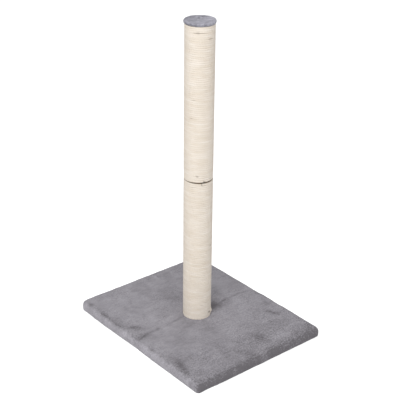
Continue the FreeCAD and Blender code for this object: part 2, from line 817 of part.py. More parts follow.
nodes = [
    make_base_board(),
    make_base_plush_cover(),
    make_base_hem_staples(),
    make_base_bolt(),
    make_base_washer(),
    make_tube("lower_tube", FOOT),
    make_plug("lower_bottom_plug", FOOT),
    make_insert_nut("lower_bottom_insert_nut", FOOT, flange_up=True),
    make_plug("lower_top_plug", f"{SEAM} - Sizes.plug_thick"),
    make_insert_nut("lower_top_insert_nut", SEAM, flange_up=False),
    make_rope("lower_sisal_rope", foot, foot_end, seam_end),
    make_rope_staples("lower_rope_staples", foot, foot_end, seam_end),
    make_connecting_stud(),
    make_tube("upper_tube", UPPER_FOOT),
    make_plug("upper_bottom_plug", UPPER_FOOT),
    make_insert_nut("upper_bottom_insert_nut", UPPER_FOOT, flange_up=True),
    make_plug("upper_top_plug", f"{UPPER_TOP} - Sizes.plug_thick", bored=False),
    make_rope("upper_sisal_rope", upper_foot, seam_end, top_end),
    make_rope_staples("upper_rope_staples", upper_foot, seam_end, top_end),
    make_cap_board(),
    make_cap_plush_cover(),
    make_cap_hem_staples(),
    make_cap_screws(),
]
doc.recompute()

for item in doc.Objects:
    if "Invalid" in item.State or "Error" in item.State:
        raise ValueError(f"{item.Name} is {item.State}")
os.makedirs("parts", exist_ok=True)
for node in nodes:
    shape = node.Shape
    if shape.isNull() or not shape.isValid() or not shape.Solids:
        raise ValueError(f"{node.Label} has no valid solid")
    shape.exportStep(f"parts/{node.Label}.step")
    box = shape.BoundBox
    print(
        f"{node.Label}: {len(shape.Solids)} solid(s), {shape.Volume / 1000:.1f} cm3, "
        f"z {box.ZMin:.2f} to {box.ZMax:.2f}"
    )
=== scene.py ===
"""A free-standing cat scratching post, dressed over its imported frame.

Plush covers the base and the cap, and sisal rope is wound round both columns. All lengths
are in metres unless a name says otherwise. +Z is up, and the origin is on the floor under
the middle of the base.
"""

import logging
import math
from dataclasses import dataclass
from enum import Enum
from typing import Any, Callable, Iterable, Sequence

import bpy
import numpy as np
from bpy.types import Material, Mesh, Node, NodeSocket, NodeTree, Object
from mathutils import Matrix, Vector, noise


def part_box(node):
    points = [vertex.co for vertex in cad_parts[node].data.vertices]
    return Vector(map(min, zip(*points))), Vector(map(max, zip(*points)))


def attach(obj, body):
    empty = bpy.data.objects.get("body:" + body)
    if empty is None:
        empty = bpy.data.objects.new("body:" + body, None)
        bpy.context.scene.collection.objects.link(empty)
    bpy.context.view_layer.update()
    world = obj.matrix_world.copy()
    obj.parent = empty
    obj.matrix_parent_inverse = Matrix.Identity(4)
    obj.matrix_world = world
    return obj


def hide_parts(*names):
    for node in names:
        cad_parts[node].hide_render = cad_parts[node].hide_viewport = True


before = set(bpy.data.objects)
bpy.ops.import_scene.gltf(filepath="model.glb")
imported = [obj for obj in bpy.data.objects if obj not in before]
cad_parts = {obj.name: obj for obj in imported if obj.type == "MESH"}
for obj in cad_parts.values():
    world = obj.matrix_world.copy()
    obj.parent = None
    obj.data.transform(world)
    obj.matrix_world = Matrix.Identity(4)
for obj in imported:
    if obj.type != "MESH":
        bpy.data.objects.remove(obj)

LOG = logging.getLogger("scratching_post")
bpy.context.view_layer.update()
MM = 0.001
MERGE_DISTANCE = 0.00001
# a cover stays this far off its board, and is never thinner than this share
BOARD_CLEARANCE = 0.0001
LEAST_SHARE = 0.2

FOOT_BODY = "base_and_lower_column"
TOP_BODY = "upper_column"


# --- small tools ------------------------------------------------------------------------


def colour(hex_value: str) -> tuple[float, float, float, float]:
    """Turns an sRGB hex value into a linear colour.

    Args:
        hex_value: six hex digits, such as "9A99A0".

    Returns:
        The linear red, green and blue, and an alpha of 1.
    """
    parts = [int(hex_value[n : n + 2], 16) / 255 for n in (0, 2, 4)]
    linear = [c / 12.92 if c <= 0.04045 else ((c + 0.055) / 1.055) ** 2.4 for c in parts]
    return (linear[0], linear[1], linear[2], 1.0)


def per_metre(feature_mm: float) -> float:
    """The noise scale, in cycles a metre, that draws features of this size."""
    return 1000.0 / feature_mm


def add_node(
    tree: NodeTree,
    kind: str,
    inputs: dict[int | str, Any] | None = None,
    **settings: Any,
) -> Node:
    """Adds a node with its settings, values and links.

    Args:
        tree: the node tree it goes into.
        kind: the node's type, without its ShaderNode prefix.
        inputs: input name or number to a value, or to the socket that feeds it.
        **settings: the node's own options.

    Returns:
        The new node.
    """
    node = tree.nodes.new("ShaderNode" + kind)
    for name, value in settings.items():
        setattr(node, name, value)
    for name, value in (inputs or {}).items():
        if isinstance(value, NodeSocket):
            tree.links.new(value, node.inputs[name])
        else:
            node.inputs[name].default_value = value
    return node


def start_material(name: str) -> tuple[Material, NodeTree]:
    """Makes an empty node material.

    Args:
        name: the finish in a maker's words.

    Returns:
        The material and its node tree.
    """
    material = bpy.data.materials.new(name)
    material.use_nodes = True
    material.node_tree.nodes.clear()
    return material, material.node_tree


def deselect_all() -> None:
    """Leaves nothing selected, in object mode."""
    if bpy.context.object and bpy.context.object.mode != "OBJECT":
        bpy.ops.object.mode_set(mode="OBJECT")
    bpy.ops.object.select_all(action="DESELECT")


def make_active(piece: Object) -> None:
    """Selects one piece alone and makes it active."""
    deselect_all()
    piece.select_set(True)
    bpy.context.view_layer.objects.active = piece


def settle(piece: Object, name: str) -> Object:
    """Names a new piece and moves its place into its mesh.

    Args:
        piece: the new object.
        name: its name.

    Returns:
        The same object, at the origin.
    """
    make_active(piece)
    bpy.ops.object.transform_apply(location=True, rotation=True, scale=True)
    piece.name = name
    piece.data.name = name
    return piece


def points_of(mesh: Mesh) -> np.ndarray:
    """The mesh's points as an array of three columns."""
    points = np.empty(len(mesh.vertices) * 3)
    mesh.vertices.foreach_get("co", points)
    return points.reshape(-1, 3)


def move_points(mesh: Mesh, points: np.ndarray) -> None:
    """Puts the mesh's points where an array of three columns says."""
    mesh.vertices.foreach_set("co", np.ascontiguousarray(points).ravel())
    mesh.update()


def merge_doubles(distance: float) -> None:
    """Merges the active piece's points that lie closer than this, and selects them all."""
    bpy.ops.object.mode_set(mode="EDIT")
    bpy.ops.mesh.select_all(action="SELECT")
    bpy.ops.mesh.remove_doubles(threshold=distance)
    bpy.ops.object.mode_set(mode="OBJECT")


def delete_faces(piece: Object, test: Callable[[Vector], bool]) -> None:
    """Deletes the faces whose centre passes a test.

    Args:
        piece: the mesh object.
        test: takes a face's centre and says whether it goes.
    """
    make_active(piece)
    bpy.ops.object.mode_set(mode="EDIT")
    bpy.ops.mesh.select_mode(type="FACE")
    bpy.ops.mesh.select_all(action="DESELECT")
    bpy.ops.object.mode_set(mode="OBJECT")
    chosen = [test(face.center) for face in piece.data.polygons]
    piece.data.polygons.foreach_set("select", chosen)
    bpy.ops.object.mode_set(mode="EDIT")
    bpy.ops.mesh.delete(type="FACE")
    bpy.ops.object.mode_set(mode="OBJECT")


def room_over(points: np.ndarray, node: str, round_board: bool) -> np.ndarray:
    """How far each point of a cover lies from the board inside it.

    Args:
        points: the points of the cover.
        node: the board's node.
        round_board: whether the board is a disc.

    Returns:
        One distance each, 0 inside the board.
    """
    low, high = (np.array(corner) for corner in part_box(node))
    half = (high - low) / 2
    off = np.abs(points - (low + high) / 2)
    if round_board:
        beside = np.maximum(np.hypot(off[:, 0], off[:, 1]) - half[0], 0.0)
    else:
        past = np.maximum(off[:, :2] - half[:2], 0.0)
        beside = np.hypot(past[:, 0], past[:, 1])
    return np.hypot(beside, np.maximum(off[:, 2] - half[2], 0.0))


def give_thickness(piece: Object, thickness: float, room: np.ndarray) -> None:
    """Thickens a cover inwards, as far as the board inside it leaves room.

    Args:
        piece: the cover, still a single sheet with its faces pointing out.
        thickness: how thick it is where nothing presses on it.
        room: the distance to the board at each point.
    """
    make_active(piece)
    group = piece.vertex_groups.new(name="thickness")
    shares = np.clip((room - BOARD_CLEARANCE) / thickness, LEAST_SHARE, 1.0)
    for index, share in enumerate(shares):
        group.add([index], float(share), "REPLACE")
    solid = piece.modifiers.new("thickness", "SOLIDIFY")
    solid.thickness = thickness
    solid.offset = -1.0
    solid.use_even_offset = False
    solid.vertex_group = group.name
    bpy.ops.object.modifier_apply(modifier=solid.name)
    piece.vertex_groups.clear()
    bpy.ops.object.shade_smooth()


def write_attribute(mesh: Mesh, name: str, values: np.ndarray) -> None:
    """Stores one number for each point of the mesh."""
    layer = mesh.attributes.new(name, "FLOAT", "POINT")
    layer.data.foreach_set("value", np.ascontiguousarray(values, dtype=np.float32))


def rough(point: Iterable[float], feature: float, seed: float = 0.0) -> float:
    """Smooth noise from about -1 to 1 at a point.

    Args:
        point: where it is read.
        feature: the size of its bumps, in the same unit.
        seed: picks another pattern.

    Returns:
        The noise there.
    """
    x, y, z = point
    return noise.noise(Vector((x / feature + seed, y / feature - seed, z / feature + seed)))


@dataclass(frozen=True)
class Ripple:
    """One size of bump: how high or strong it is, how far across, and its pattern's seed."""

    height: float
    across: float
    seed: float


def rippled(point: Iterable[float], ripples: Iterable[Ripple]) -> float:
    """Adds up ripples at a point.

    Args:
        point: where they are read.
        ripples: the ripples.

    Returns:
        How high they stand there together.
    """
    return sum(ripple.height * rough(point, ripple.across, ripple.seed) for ripple in ripples)


def closeness(off: float | np.ndarray, reach: float) -> float | np.ndarray:
    """A smooth share that is 1 at a place and dies away a few reaches off it.

    Args:
        off: the distance from the place.
        reach: where the share has fallen to about a third, in the same unit.

    Returns:
        The share.
    """
    return np.exp(-((off / reach) ** 2))


def ramp(value: float | np.ndarray, start: float, end: float) -> float | np.ndarray:
    """A straight share from 0 at the start to 1 at the end, and flat beyond them."""
    return np.clip((value - start) / (end - start), 0.0, 1.0)


# --- finishes ---------------------------------------------------------------------------


class PaintedSideShading(Enum):
    """Painted light and shade on a cover's sides: paler where a side faces the lamp, darker where it
    faces away, and a little darker across.
    """

    TOWARDS_LIGHT = 0.30
    AWAY_FROM_LIGHT = -0.95
    ACROSS = -0.10


@dataclass(frozen=True)
class Look:
    """What a finish's pattern gives: the pale tone's share, the relief and the surface."""

    share: NodeSocket
    height: NodeSocket
    surface: dict[int | str, Any]


@dataclass(frozen=True)
class Finish:
    """A finish of two tones, mixed by its pattern, with a fine relief."""

    name: str
    pale: str
    deep: str
    relief: float
    relief_mm: float

    def pattern(self, tree: NodeTree) -> Look:
        """Draws the finish's own pattern in the material's node tree."""
        raise NotImplementedError

    def tinted(self, tree: NodeTree, base: NodeSocket) -> NodeSocket:
        """Changes the mixed colour further, where a finish needs it."""
        return base

    def material(self) -> Material:
        """Builds the node material."""
        material, tree = start_material(self.name)
        look = self.pattern(tree)
        tones = {0: look.share, 6: colour(self.deep), 7: colour(self.pale)}
        mixed = add_node(tree, "Mix", tones, data_type="RGBA").outputs[2]
        relief = {"Strength": self.relief, "Distance": self.relief_mm * MM, "Height": look.height}
        normal = add_node(tree, "Bump", relief).outputs[0]
        surface = {"Base Color": self.tinted(tree, mixed), "Normal": normal, **look.surface}
        shader = add_node(tree, "BsdfPrincipled", surface)
        add_node(tree, "OutputMaterial", {"Surface": shader.outputs["BSDF"]})
        return material


@dataclass(frozen=True)
class PlushFinish(Finish):
    """Knitted polyester plush, sheared to a short pile.

    The pile scatters light, so it has no highlight, a pale bloom at its edges, and
    lighter and darker patches where it was brushed one way or the other. Where it is
    ruffled, its tufts stand up and it looks speckled.
    """

    name: str = "polyester_plush_sheared_grey"
    pale: str = "B6B3BA"
    deep: str = "69666A"
    relief: float = 0.6
    relief_mm: float = 0.8
    bloom: str = "D9D8E0"
    patch_mm: float = 48.0
    streak_mm: float = 7.0
    streak_length_mm: float = 30.0
    streak_turn: float = 12.0
    ruffle_mm: float = 110.0
    # a pile's tufts are about 1 mm apart, too fine to show, so they are drawn at 5 mm
    tuft_mm: float = 5.0
    patch_share: float = 0.23
    streak_share: float = 0.17
    tuft_share: float = 0.75

    def pattern(self, tree: NodeTree) -> Look:
        """Draws patches, streaks and tufts over the tone and painted shade stored at each point, and
        by how each point is ruffled.
        """
        place = add_node(tree, "TexCoord").outputs["Object"]
        brushed = add_node(tree, "Mapping", {
            0: place,
            "Rotation": (0.0, 0.0, math.radians(self.streak_turn)),
            "Scale": (self.streak_mm / self.streak_length_mm, 1.0, 1.0),
        }).outputs[0]
        patches, streaks, tufts, ruffled = (
            add_node(tree, "TexNoise", {
                "Vector": where, "Scale": per_metre(size), "Detail": detail,
                "Roughness": grit, "Distortion": bend,
            }).outputs[0]
            for where, size, detail, grit, bend in (
                (place, self.patch_mm, 4.0, 0.55, 0.4),
                (brushed, self.streak_mm, 3.0, 0.6, 0.8),
                (place, self.tuft_mm, 2.0, 0.75, 0.0),
                (place, self.ruffle_mm, 2.0, 0.5, 0.0),
            )
        )
        patchy, streaky, speckle = (
            add_node(tree, "MapRange", {0: tone, 1: low, 2: 1 - low, 3: -share, 4: share}).outputs[0]
            for tone, low, share in (
                (patches, 0.32, self.patch_share),
                (streaks, 0.3, self.streak_share),
                (tufts, 0.3, self.tuft_share),
            )
        )
        ruffle = add_node(tree, "Attribute", attribute_name="ruffle").outputs["Fac"]
        loose = add_node(tree, "MapRange", {0: ruffled, 1: 0.4, 2: 0.65, 3: 0.15, 4: 0.6}).outputs[0]
        standing = add_node(tree, "Math", {0: loose, 1: ruffle}, operation="ADD").outputs[0]
        tufted = add_node(tree, "Math", {0: speckle, 1: standing}, operation="MULTIPLY").outputs[0]
        # the nap tone, with the painted light and shade, that the cover stores at each point
        whole = add_node(tree, "Attribute", attribute_name="nap_and_painted_shade").outputs["Fac"]
        for part in (patchy, streaky, tufted):
            whole = add_node(tree, "Math", {0: whole, 1: part}, operation="ADD").outputs[0]
        share = add_node(tree, "MapRange", {0: whole, 1: -1.0, 2: 1.0}).outputs[0]
        height = add_node(tree, "Math", {0: tufted, 1: streaks}, operation="ADD").outputs[0]
        return Look(share, height, {
            "Roughness": 0.95, "Specular IOR Level": 0.1,
            "Sheen Weight": 0.15, "Sheen Roughness": 0.5, "Sheen Tint": colour(self.bloom),
        })


@dataclass(frozen=True)
class SisalFinish(Finish):
    """Three-strand sisal rope, bleached to cream.

    Its hard leaf fibres run along the strands, so it is matte with fine pale and brown
    streaks, and each strand's twist shows as slanting ridges.
    """

    name: str = "bleached_sisal_three_strand"
    pale: str = "E9E1D7"
    deep: str = "DACEBE"
    relief: float = 0.6
    relief_mm: float = 0.5
    # the brown of the rope's grime and stains, which also paints its shade
    stain_and_shade: str = "6E5F4E"
    lay_mm: float = 21.0
    strands: int = 3
    girth_mm: float = 19.0
    fibre_mm: float = 0.9
    length_mm: float = 60.0

    def pattern(self, tree: NodeTree) -> Look:
        """Draws strands and fibres along the rope's own run and girth."""
        run = add_node(tree, "UVMap", uv_map="run").outputs[0]
        along, around = add_node(tree, "SeparateXYZ", {0: run}).outputs[0:2]
        twist = 2 * math.pi * self.strands
        lay = add_node(
            tree, "Math", {0: along, 1: twist * per_metre(self.lay_mm)}, operation="MULTIPLY"
        ).outputs[0]
        girth = {0: around, 1: twist * per_metre(self.girth_mm), 2: lay}
        phase = add_node(tree, "Math", girth, operation="MULTIPLY_ADD").outputs[0]
        ridge = add_node(tree, "Math", {0: phase}, operation="SINE").outputs[0]
        streaks = add_node(
            tree, "Mapping", {0: run, "Scale": (self.fibre_mm / self.length_mm, 1.0, 1.0)}
        ).outputs[0]
        fibres = add_node(tree, "TexNoise", {
            "Vector": streaks, "Scale": per_metre(self.fibre_mm), "Detail": 3.0, "Roughness": 0.7,
        }).outputs[0]
        long_way = add_node(tree, "TexNoise", {
            "Vector": run, "Scale": per_metre(self.length_mm), "Detail": 2.0,
        }).outputs[0]
        tone = add_node(tree, "Math", {0: fibres, 1: long_way}, operation="ADD").outputs[0]
        share = add_node(tree, "MapRange", {0: tone, 1: 0.7, 2: 1.25}).outputs[0]
        ridged = add_node(tree, "Math", {0: ridge, 1: 0.6, 2: fibres}, operation="MULTIPLY_ADD")
        return Look(share, ridged.outputs[0], {
            "Roughness": 0.88, "Specular IOR Level": 0.2, "Sheen Weight": 0.1, "Sheen Roughness": 0.5,
        })

    def tinted(self, tree: NodeTree, base: NodeSocket) -> NodeSocket:
        """Browns the rope where it is grimy or stained, and where shade is painted on it."""
        soil_and_shade = add_node(tree, "Attribute", attribute_name="soil_and_shade").outputs["Fac"]
        stained_and_shaded = {0: soil_and_shade, 6: base, 7: colour(self.stain_and_shade)}
        return add_node(tree, "Mix", stained_and_shaded, data_type="RGBA").outputs[2]


@dataclass(frozen=True)
class ChipboardFinish(Finish):
    """Raw pressed chipboard: straw-coloured flakes and dark specks, flat and matte."""

    name: str = "raw_chipboard"
    pale: str = "C9AE84"
    deep: str = "9C7F57"
    relief: float = 0.4
    relief_mm: float = 0.2
    flake_mm: float = 5.0
    speck_mm: float = 1.6

    def pattern(self, tree: NodeTree) -> Look:
        """Draws flakes with specks among them."""
        place = add_node(tree, "TexCoord").outputs["Object"]
        flakes = add_node(tree, "TexVoronoi", {"Vector": place, "Scale": per_metre(self.flake_mm)})
        specks = add_node(
            tree, "TexNoise", {"Vector": place, "Scale": per_metre(self.speck_mm), "Detail": 2.0}
        ).outputs[0]
        grey = add_node(tree, "RGBToBW", {0: flakes.outputs["Color"]}).outputs[0]
        tone = add_node(tree, "Math", {0: grey, 1: specks}, operation="MULTIPLY").outputs[0]
        share = add_node(tree, "MapRange", {0: tone, 1: 0.1, 2: 0.42}).outputs[0]
        return Look(share, tone, {"Roughness": 0.8})


@dataclass(frozen=True)
class SoftwoodFinish(Finish):
    """Sawn pine plugs: pale wood whose growth rings show on the cut ends."""

    name: str = "sawn_pine"
    pale: str = "E2C695"
    deep: str = "BE945C"
    relief: float = 0.3
    relief_mm: float = 0.2
    ring_mm: float = 2.6
    # how far the tree's heart lies from the post's axis
    heart: tuple[float, float, float] = (0.05, 0.03, 0.0)

    def pattern(self, tree: NodeTree) -> Look:
        """Draws the growth rings."""
        place = add_node(tree, "TexCoord").outputs["Object"]
        log = add_node(tree, "Mapping", {0: place, "Location": self.heart}).outputs[0]
        scale = per_metre(self.ring_mm) / (2 * math.pi)
        grain = {"Vector": log, "Scale": scale, "Distortion": 2.5, "Detail": 2.0}
        rings = add_node(tree, "TexWave", grain, wave_type="RINGS", rings_direction="Z").outputs[1]
        share = add_node(tree, "Math", {0: 1.0, 1: rings}, operation="SUBTRACT").outputs[0]
        return Look(share, rings, {"Roughness": 0.75})


@dataclass(frozen=True)
class KraftTubeFinish(Finish):
    """Spiral-wound kraft board: brown paper strips whose laps show as faint slants."""

    name: str = "spiral_kraft_board"
    pale: str = "93806A"
    deep: str = "68594A"
    relief: float = 0.3
    relief_mm: float = 0.15
    strip_mm: float = 90.0
    pulp_mm: float = 3.0
    slant: float = 0.45

    def pattern(self, tree: NodeTree) -> Look:
        """Draws the laps of the strips and the pulp."""
        place = add_node(tree, "TexCoord").outputs["Object"]
        slant = add_node(tree, "Mapping", {0: place, "Rotation": (self.slant, 0.0, 0.0)}).outputs[0]
        scale = per_metre(self.strip_mm) / (2 * math.pi)
        strips = {"Vector": slant, "Scale": scale, "Distortion": 0.3}
        laps = add_node(
            tree, "TexWave", strips, bands_direction="Z", wave_profile="SAW"
        ).outputs[1]
        pulp = add_node(
            tree, "TexNoise", {"Vector": place, "Scale": per_metre(self.pulp_mm), "Detail": 4.0}
        ).outputs[0]
        tone = add_node(tree, "Math", {0: laps, 1: 0.35, 2: pulp}, operation="MULTIPLY_ADD")
        share = add_node(tree, "MapRange", {0: tone.outputs[0], 1: 0.3, 2: 1.0}).outputs[0]
        return Look(share, laps, {"Roughness": 0.82})


@dataclass(frozen=True)
class ZincFinish(Finish):
    """Zinc-plated steel: bright grey with a faint cloudy bloom and fine turning marks."""

    name: str = "zinc_plated_steel"
    pale: str = "C9CACB"
    deep: str = "A3A5A6"
    relief: float = 0.25
    relief_mm: float = 0.05
    bloom_mm: float = 7.0
    turning_mm: float = 0.8
    roughness: float = 0.32

    def pattern(self, tree: NodeTree) -> Look:
        """Draws the bloom and the turning marks."""
        place = add_node(tree, "TexCoord").outputs["Object"]
        bloom = add_node(
            tree, "TexNoise", {"Vector": place, "Scale": per_metre(self.bloom_mm), "Detail": 3.0}
        ).outputs[0]
        turning = {"Vector": place, "Scale": per_metre(self.turning_mm) / (2 * math.pi)}
        marks = add_node(tree, "TexWave", turning, bands_direction="Z").outputs[1]
        shine = {0: bloom, 3: self.roughness - 0.08, 4: self.roughness + 0.12}
        roughness = add_node(tree, "MapRange", shine).outputs[0]
        return Look(bloom, marks, {"Metallic": 1.0, "Roughness": roughness})


# --- covers -----------------------------------------------------------------------------


# a cover's point faces up past the first of these values of its normal's height, and
# belongs to its top or sides past the second
UPWARD = 0.5
BELOW = -0.2
# how narrow the raised band along the rims is, as a power of the place across the base
RIM_SHARPNESS = 12
# how far past a cut a face's centre may lie before the face goes, in cells
CORNER_SPARE = 0.7
HEM_SPARE = 0.95
# past this many half widths, squared, a stroke is too faint to show
STROKE_REACH = 5.0
STROKE_EDGES = (Ripple(0.55, 0.013, 6.0), Ripple(0.35, 0.005, 2.0))


@dataclass(frozen=True)
class Stroke:
    """A place where the pile was brushed one way, pressed in, or painted with shadow, shade or light.

    Its middle, length and width are in metres, its turn in degrees from +X, its shade is
    negative where it looks darker, and its dent is how far it is pressed in.
    """

    x: float
    y: float
    length: float
    width: float
    turn: float
    shade: float
    dent: float = 0.0

    def share(self, points: np.ndarray) -> np.ndarray:
        """How strongly the stroke shows at each point, from 0 to 1, with ragged edges."""
        turn = math.radians(self.turn)
        dx, dy = points[:, 0] - self.x, points[:, 1] - self.y
        along = (dx * math.cos(turn) + dy * math.sin(turn)) / (self.length / 2)
        across = (dy * math.cos(turn) - dx * math.sin(turn)) / (self.width / 2)
        near = along**2 + across**2
        shown = np.zeros(len(points))
        for n in np.flatnonzero(near < STROKE_REACH):
            shown[n] = math.exp(-near[n] * (1 + rippled(points[n], STROKE_EDGES)))
        return shown


@dataclass
class BaseCover:
    """The plush sheet stretched over the base board and folded under as a hem."""

    node: str = "base_plush_cover"
    body: str = FOOT_BODY
    width: float = 0.500
    length: float = 0.610
    height: float = 0.028
    corner: float = 0.022
    # the photograph's nearest corner is drawn tighter than the others
    front_corner: float = 0.0128
    top_round: float = 0.0125
    low_round: float = 0.005
    hem: float = 0.042
    thickness: float = 0.0060
    cell: float = 0.0034
    loft: float = 0.0010
    ripples: tuple[Ripple, ...] = (
        Ripple(0.0008, 0.075, 1.0),
        Ripple(0.0005, 0.020, 2.0),
        Ripple(0.0003, 0.0075, 5.0),
    )
    # nothing stretches the sides flat, so they ripple more
    side_ripples: tuple[Ripple, ...] = (Ripple(0.0022, 0.058, 3.0), Ripple(0.0011, 0.021, 8.0))
    post_x: float = 0.006
    post_y: float = 0.012
    post_radius: float = 0.0454
    seat_depth: float = 0.0028
    seat_edge: float = 0.002
    # away from the post the pile may rise this far above the cover's height
    headroom: float = 0.010
    # how much painted shade lies in the crease, and how much darker the nearest corner and the
    # front's half are drawn
    crease_shade: float = 0.50
    corner_shade: float = 0.40
    front_shade: float = 0.17
    # the pile pressed out from under the post stands up round it
    collar_height: float = 0.0012
    collar_reach: float = 0.004
    # the pile stands higher along the rims, most at the two far sides
    rim_lift: float = 0.0016
    far_lift: float = 0.0020
    near_tuck: float = 0.0018
    tuck_reach: float = 0.030
    crease_depth: float = 0.0022
    crease_width: float = 0.0042
    crease_wander: tuple[Ripple, ...] = (Ripple(0.0016, 0.035, 4.0),)
    # the crease wanders across the board from its left side to its right
    crease: tuple[tuple[float, float], ...] = (
        (-0.262, -0.010),
        (-0.190, 0.013),
        (-0.113, 0.014),
        (-0.036, 0.022),
        (0.075, 0.010),
        (0.144, 0.018),
        (0.192, 0.019),
        (0.262, 0.004),
    )
    strokes: tuple[Stroke, ...] = (
        # along the left rim: dents, with painted shade in them
        Stroke(-0.240, 0.176, 0.064, 0.018, 90, -1.05, 0.0022),
        Stroke(-0.241, 0.117, 0.034, 0.014, 90, -0.75, 0.0014),
        Stroke(-0.234, 0.265, 0.026, 0.016, 80, -0.65, 0.0010),
        Stroke(-0.208, 0.066, 0.060, 0.022, -48, -0.70, 0.0010),
        Stroke(-0.212, 0.010, 0.062, 0.020, 4, -0.70, 0.0014),
        Stroke(-0.241, -0.067, 0.032, 0.016, 90, -0.80, 0.0014),
        Stroke(-0.221, -0.193, 0.078, 0.024, 78, -0.75, 0.0012),
        # where the sides bulge or are pulled in
        Stroke(-0.251, 0.176, 0.080, 0.040, 90, 0.0, -0.0030),
        Stroke(-0.251, 0.006, 0.070, 0.040, 90, 0.0, 0.0020),
        Stroke(-0.205, -0.306, 0.064, 0.040, 0, 0.0, 0.0038),
        Stroke(0.010, -0.306, 0.036, 0.050, 0, 0.55, -0.0012),
        Stroke(0.251, -0.120, 0.340, 0.050, 90, 0.0, -0.0018),
        # left and right of the post
        Stroke(0.004, 0.148, 0.190, 0.120, 75, -0.22),
        Stroke(-0.110, 0.078, 0.130, 0.060, 70, 0.24),
        Stroke(-0.074, 0.044, 0.050, 0.014, 8, 0.30),
        Stroke(0.039, 0.278, 0.028, 0.012, -85, 0.42),
        Stroke(0.049, 0.270, 0.014, 0.010, -85, -0.45),
        Stroke(-0.166, 0.130, 0.034, 0.014, -39, 0.35),
        # the next two are the post's painted shadow on the plush, right of its foot
        Stroke(0.078, 0.004, 0.066, 0.040, 10, -0.80, 0.0006),
        Stroke(0.080, 0.022, 0.060, 0.024, 45, -0.70),
        Stroke(0.120, 0.010, 0.080, 0.020, 8, -0.30),
        Stroke(0.198, -0.140, 0.042, 0.016, -57, -0.70, 0.0016),
        Stroke(0.222, -0.081, 0.030, 0.014, 82, -0.50, 0.0010),
        Stroke(0.242, -0.022, 0.030, 0.014, 84, -0.65, 0.0016),
        Stroke(-0.130, 0.235, 0.200, 0.090, -20, 0.18),
        Stroke(0.160, 0.160, 0.200, 0.120, 20, 0.24),
        Stroke(0.205, 0.070, 0.110, 0.080, 60, 0.17),
        # the front half
        Stroke(-0.058, -0.045, 0.110, 0.060, -20, -0.16),
        Stroke(0.072, -0.233, 0.080, 0.044, -80, -0.42, 0.0006),
        Stroke(0.140, -0.250, 0.110, 0.040, 6, 0.32),
        Stroke(0.154, -0.238, 0.020, 0.010, 70, -0.45),
        Stroke(-0.110, -0.222, 0.060, 0.022, -14, 0.28),
        Stroke(-0.033, -0.261, 0.030, 0.016, -70, -0.30),
        Stroke(-0.040, -0.240, 0.180, 0.090, 5, -0.14),
        Stroke(-0.161, -0.142, 0.090, 0.040, -35, 0.16),
        Stroke(0.060, -0.120, 0.150, 0.080, 15, 0.10),
    )
    finish: PlushFinish = PlushFinish()

    def run_to_hem(self) -> float:
        """How far the sheet runs from the flat top's edge to the hem's end."""
        rounds = (self.top_round + self.low_round) * math.pi / 2
        side = self.height - self.top_round - self.low_round
        return rounds + side + self.hem - self.low_round

    def corner_at(self, x: float, y: float) -> float:
        """The plan radius of the corner on this side of the middle."""
        return self.front_corner if x < 0 and y < 0 else self.corner

    def profile(self, run: float) -> tuple[float, float]:
        """Follows the sheet over the rim, down the side and under the board.

        Args:
            run: the distance past the edge of the flat top.

        Returns:
            How far out from the flat top's edge that is, and its height.
        """
        top, low = self.top_round, self.low_round
        if run <= 0:
            return run, self.height
        if run < top * math.pi / 2:
            return top * math.sin(run / top), self.height - top * (1 - math.cos(run / top))
        run -= top * math.pi / 2
        side = self.height - top - low
        if run < side:
            return top, self.height - top - run
        run -= side
        if run < low * math.pi / 2:
            return top - low * (1 - math.cos(run / low)), low - low * math.sin(run / low)
        return top - low - (run - low * math.pi / 2), 0.0

    def fold(self, x: float, y: float) -> tuple[float, float, float]:
        """Folds one point of the flat sheet round the board.

        Args:
            x: its place across the sheet.
            y: its place along the sheet.

        Returns:
            Its place on the covered board.
        """
        corner = self.corner_at(x, y)
        core_x, core_y = self.width / 2 - corner, self.length / 2 - corner
        near = Vector((min(max(x, -core_x), core_x), min(max(y, -core_y), core_y)))
        away = Vector((x, y)) - near
        reach = away.length
        if reach < 1e-9:
            return x, y, self.height
        if away.x and away.y:
            reach = min(reach, self.to_hem(corner) + corner)
        flat = corner - self.top_round
        out, height = self.profile(reach - flat)
        spot = near + away.normalized() * (flat + out)
        return spot.x, spot.y, height

    def to_hem(self, corner: float) -> float:
        """How far the sheet runs from a corner's centre to the rim's outermost line below."""
        return self.run_to_hem() - self.hem + corner - self.top_round

    def off_the_cut(self, centre: Vector) -> bool:
        """Says whether a flat face lies in a corner that the hem's mitre cuts away."""
        corner = self.corner_at(centre.x, centre.y)
        over_x = abs(centre.x) - (self.width / 2 - corner)
        over_y = abs(centre.y) - (self.length / 2 - corner)
        limit = self.to_hem(corner) + corner
        if over_x > 0 and over_y > 0:
            return math.hypot(over_x, over_y) > limit + CORNER_SPARE * self.cell
        limit += HEM_SPARE * self.cell
        if over_x > 0:
            return over_x - limit > max(-over_y, 0.0)
        return over_y > 0 and over_y - limit > max(-over_x, 0.0)

    def mitre(self, flat: np.ndarray, folded: np.ndarray) -> np.ndarray:
        """Brings the hem's two flaps at each corner together along one line.

        Args:
            flat: the points of the flat sheet.
            folded: the same points, folded round the board.

        Returns:
            The folded points, with those past the mitre's line moved back onto it.
        """
        half = np.array([self.width, self.length]) / 2
        corners = np.array([self.corner_at(x, y) for x, y, _ in flat])
        over = np.abs(flat[:, :2]) - (half - corners[:, None])
        inset = half - np.abs(folded[:, :2])
        below = folded[:, 2] < 1e-6
        for flap, other in ((0, 1), (1, 0)):
            on_flap = below & (over[:, flap] > 0) & (over[:, other] <= 0)
            past = np.where(on_flap, np.maximum(inset[:, flap] - inset[:, other], 0.0), 0.0)
            inset[:, flap] -= past / 2
            inset[:, other] += past / 2
        moved = folded.copy()
        moved[:, :2] = np.sign(folded[:, :2]) * (half - inset)
        return moved

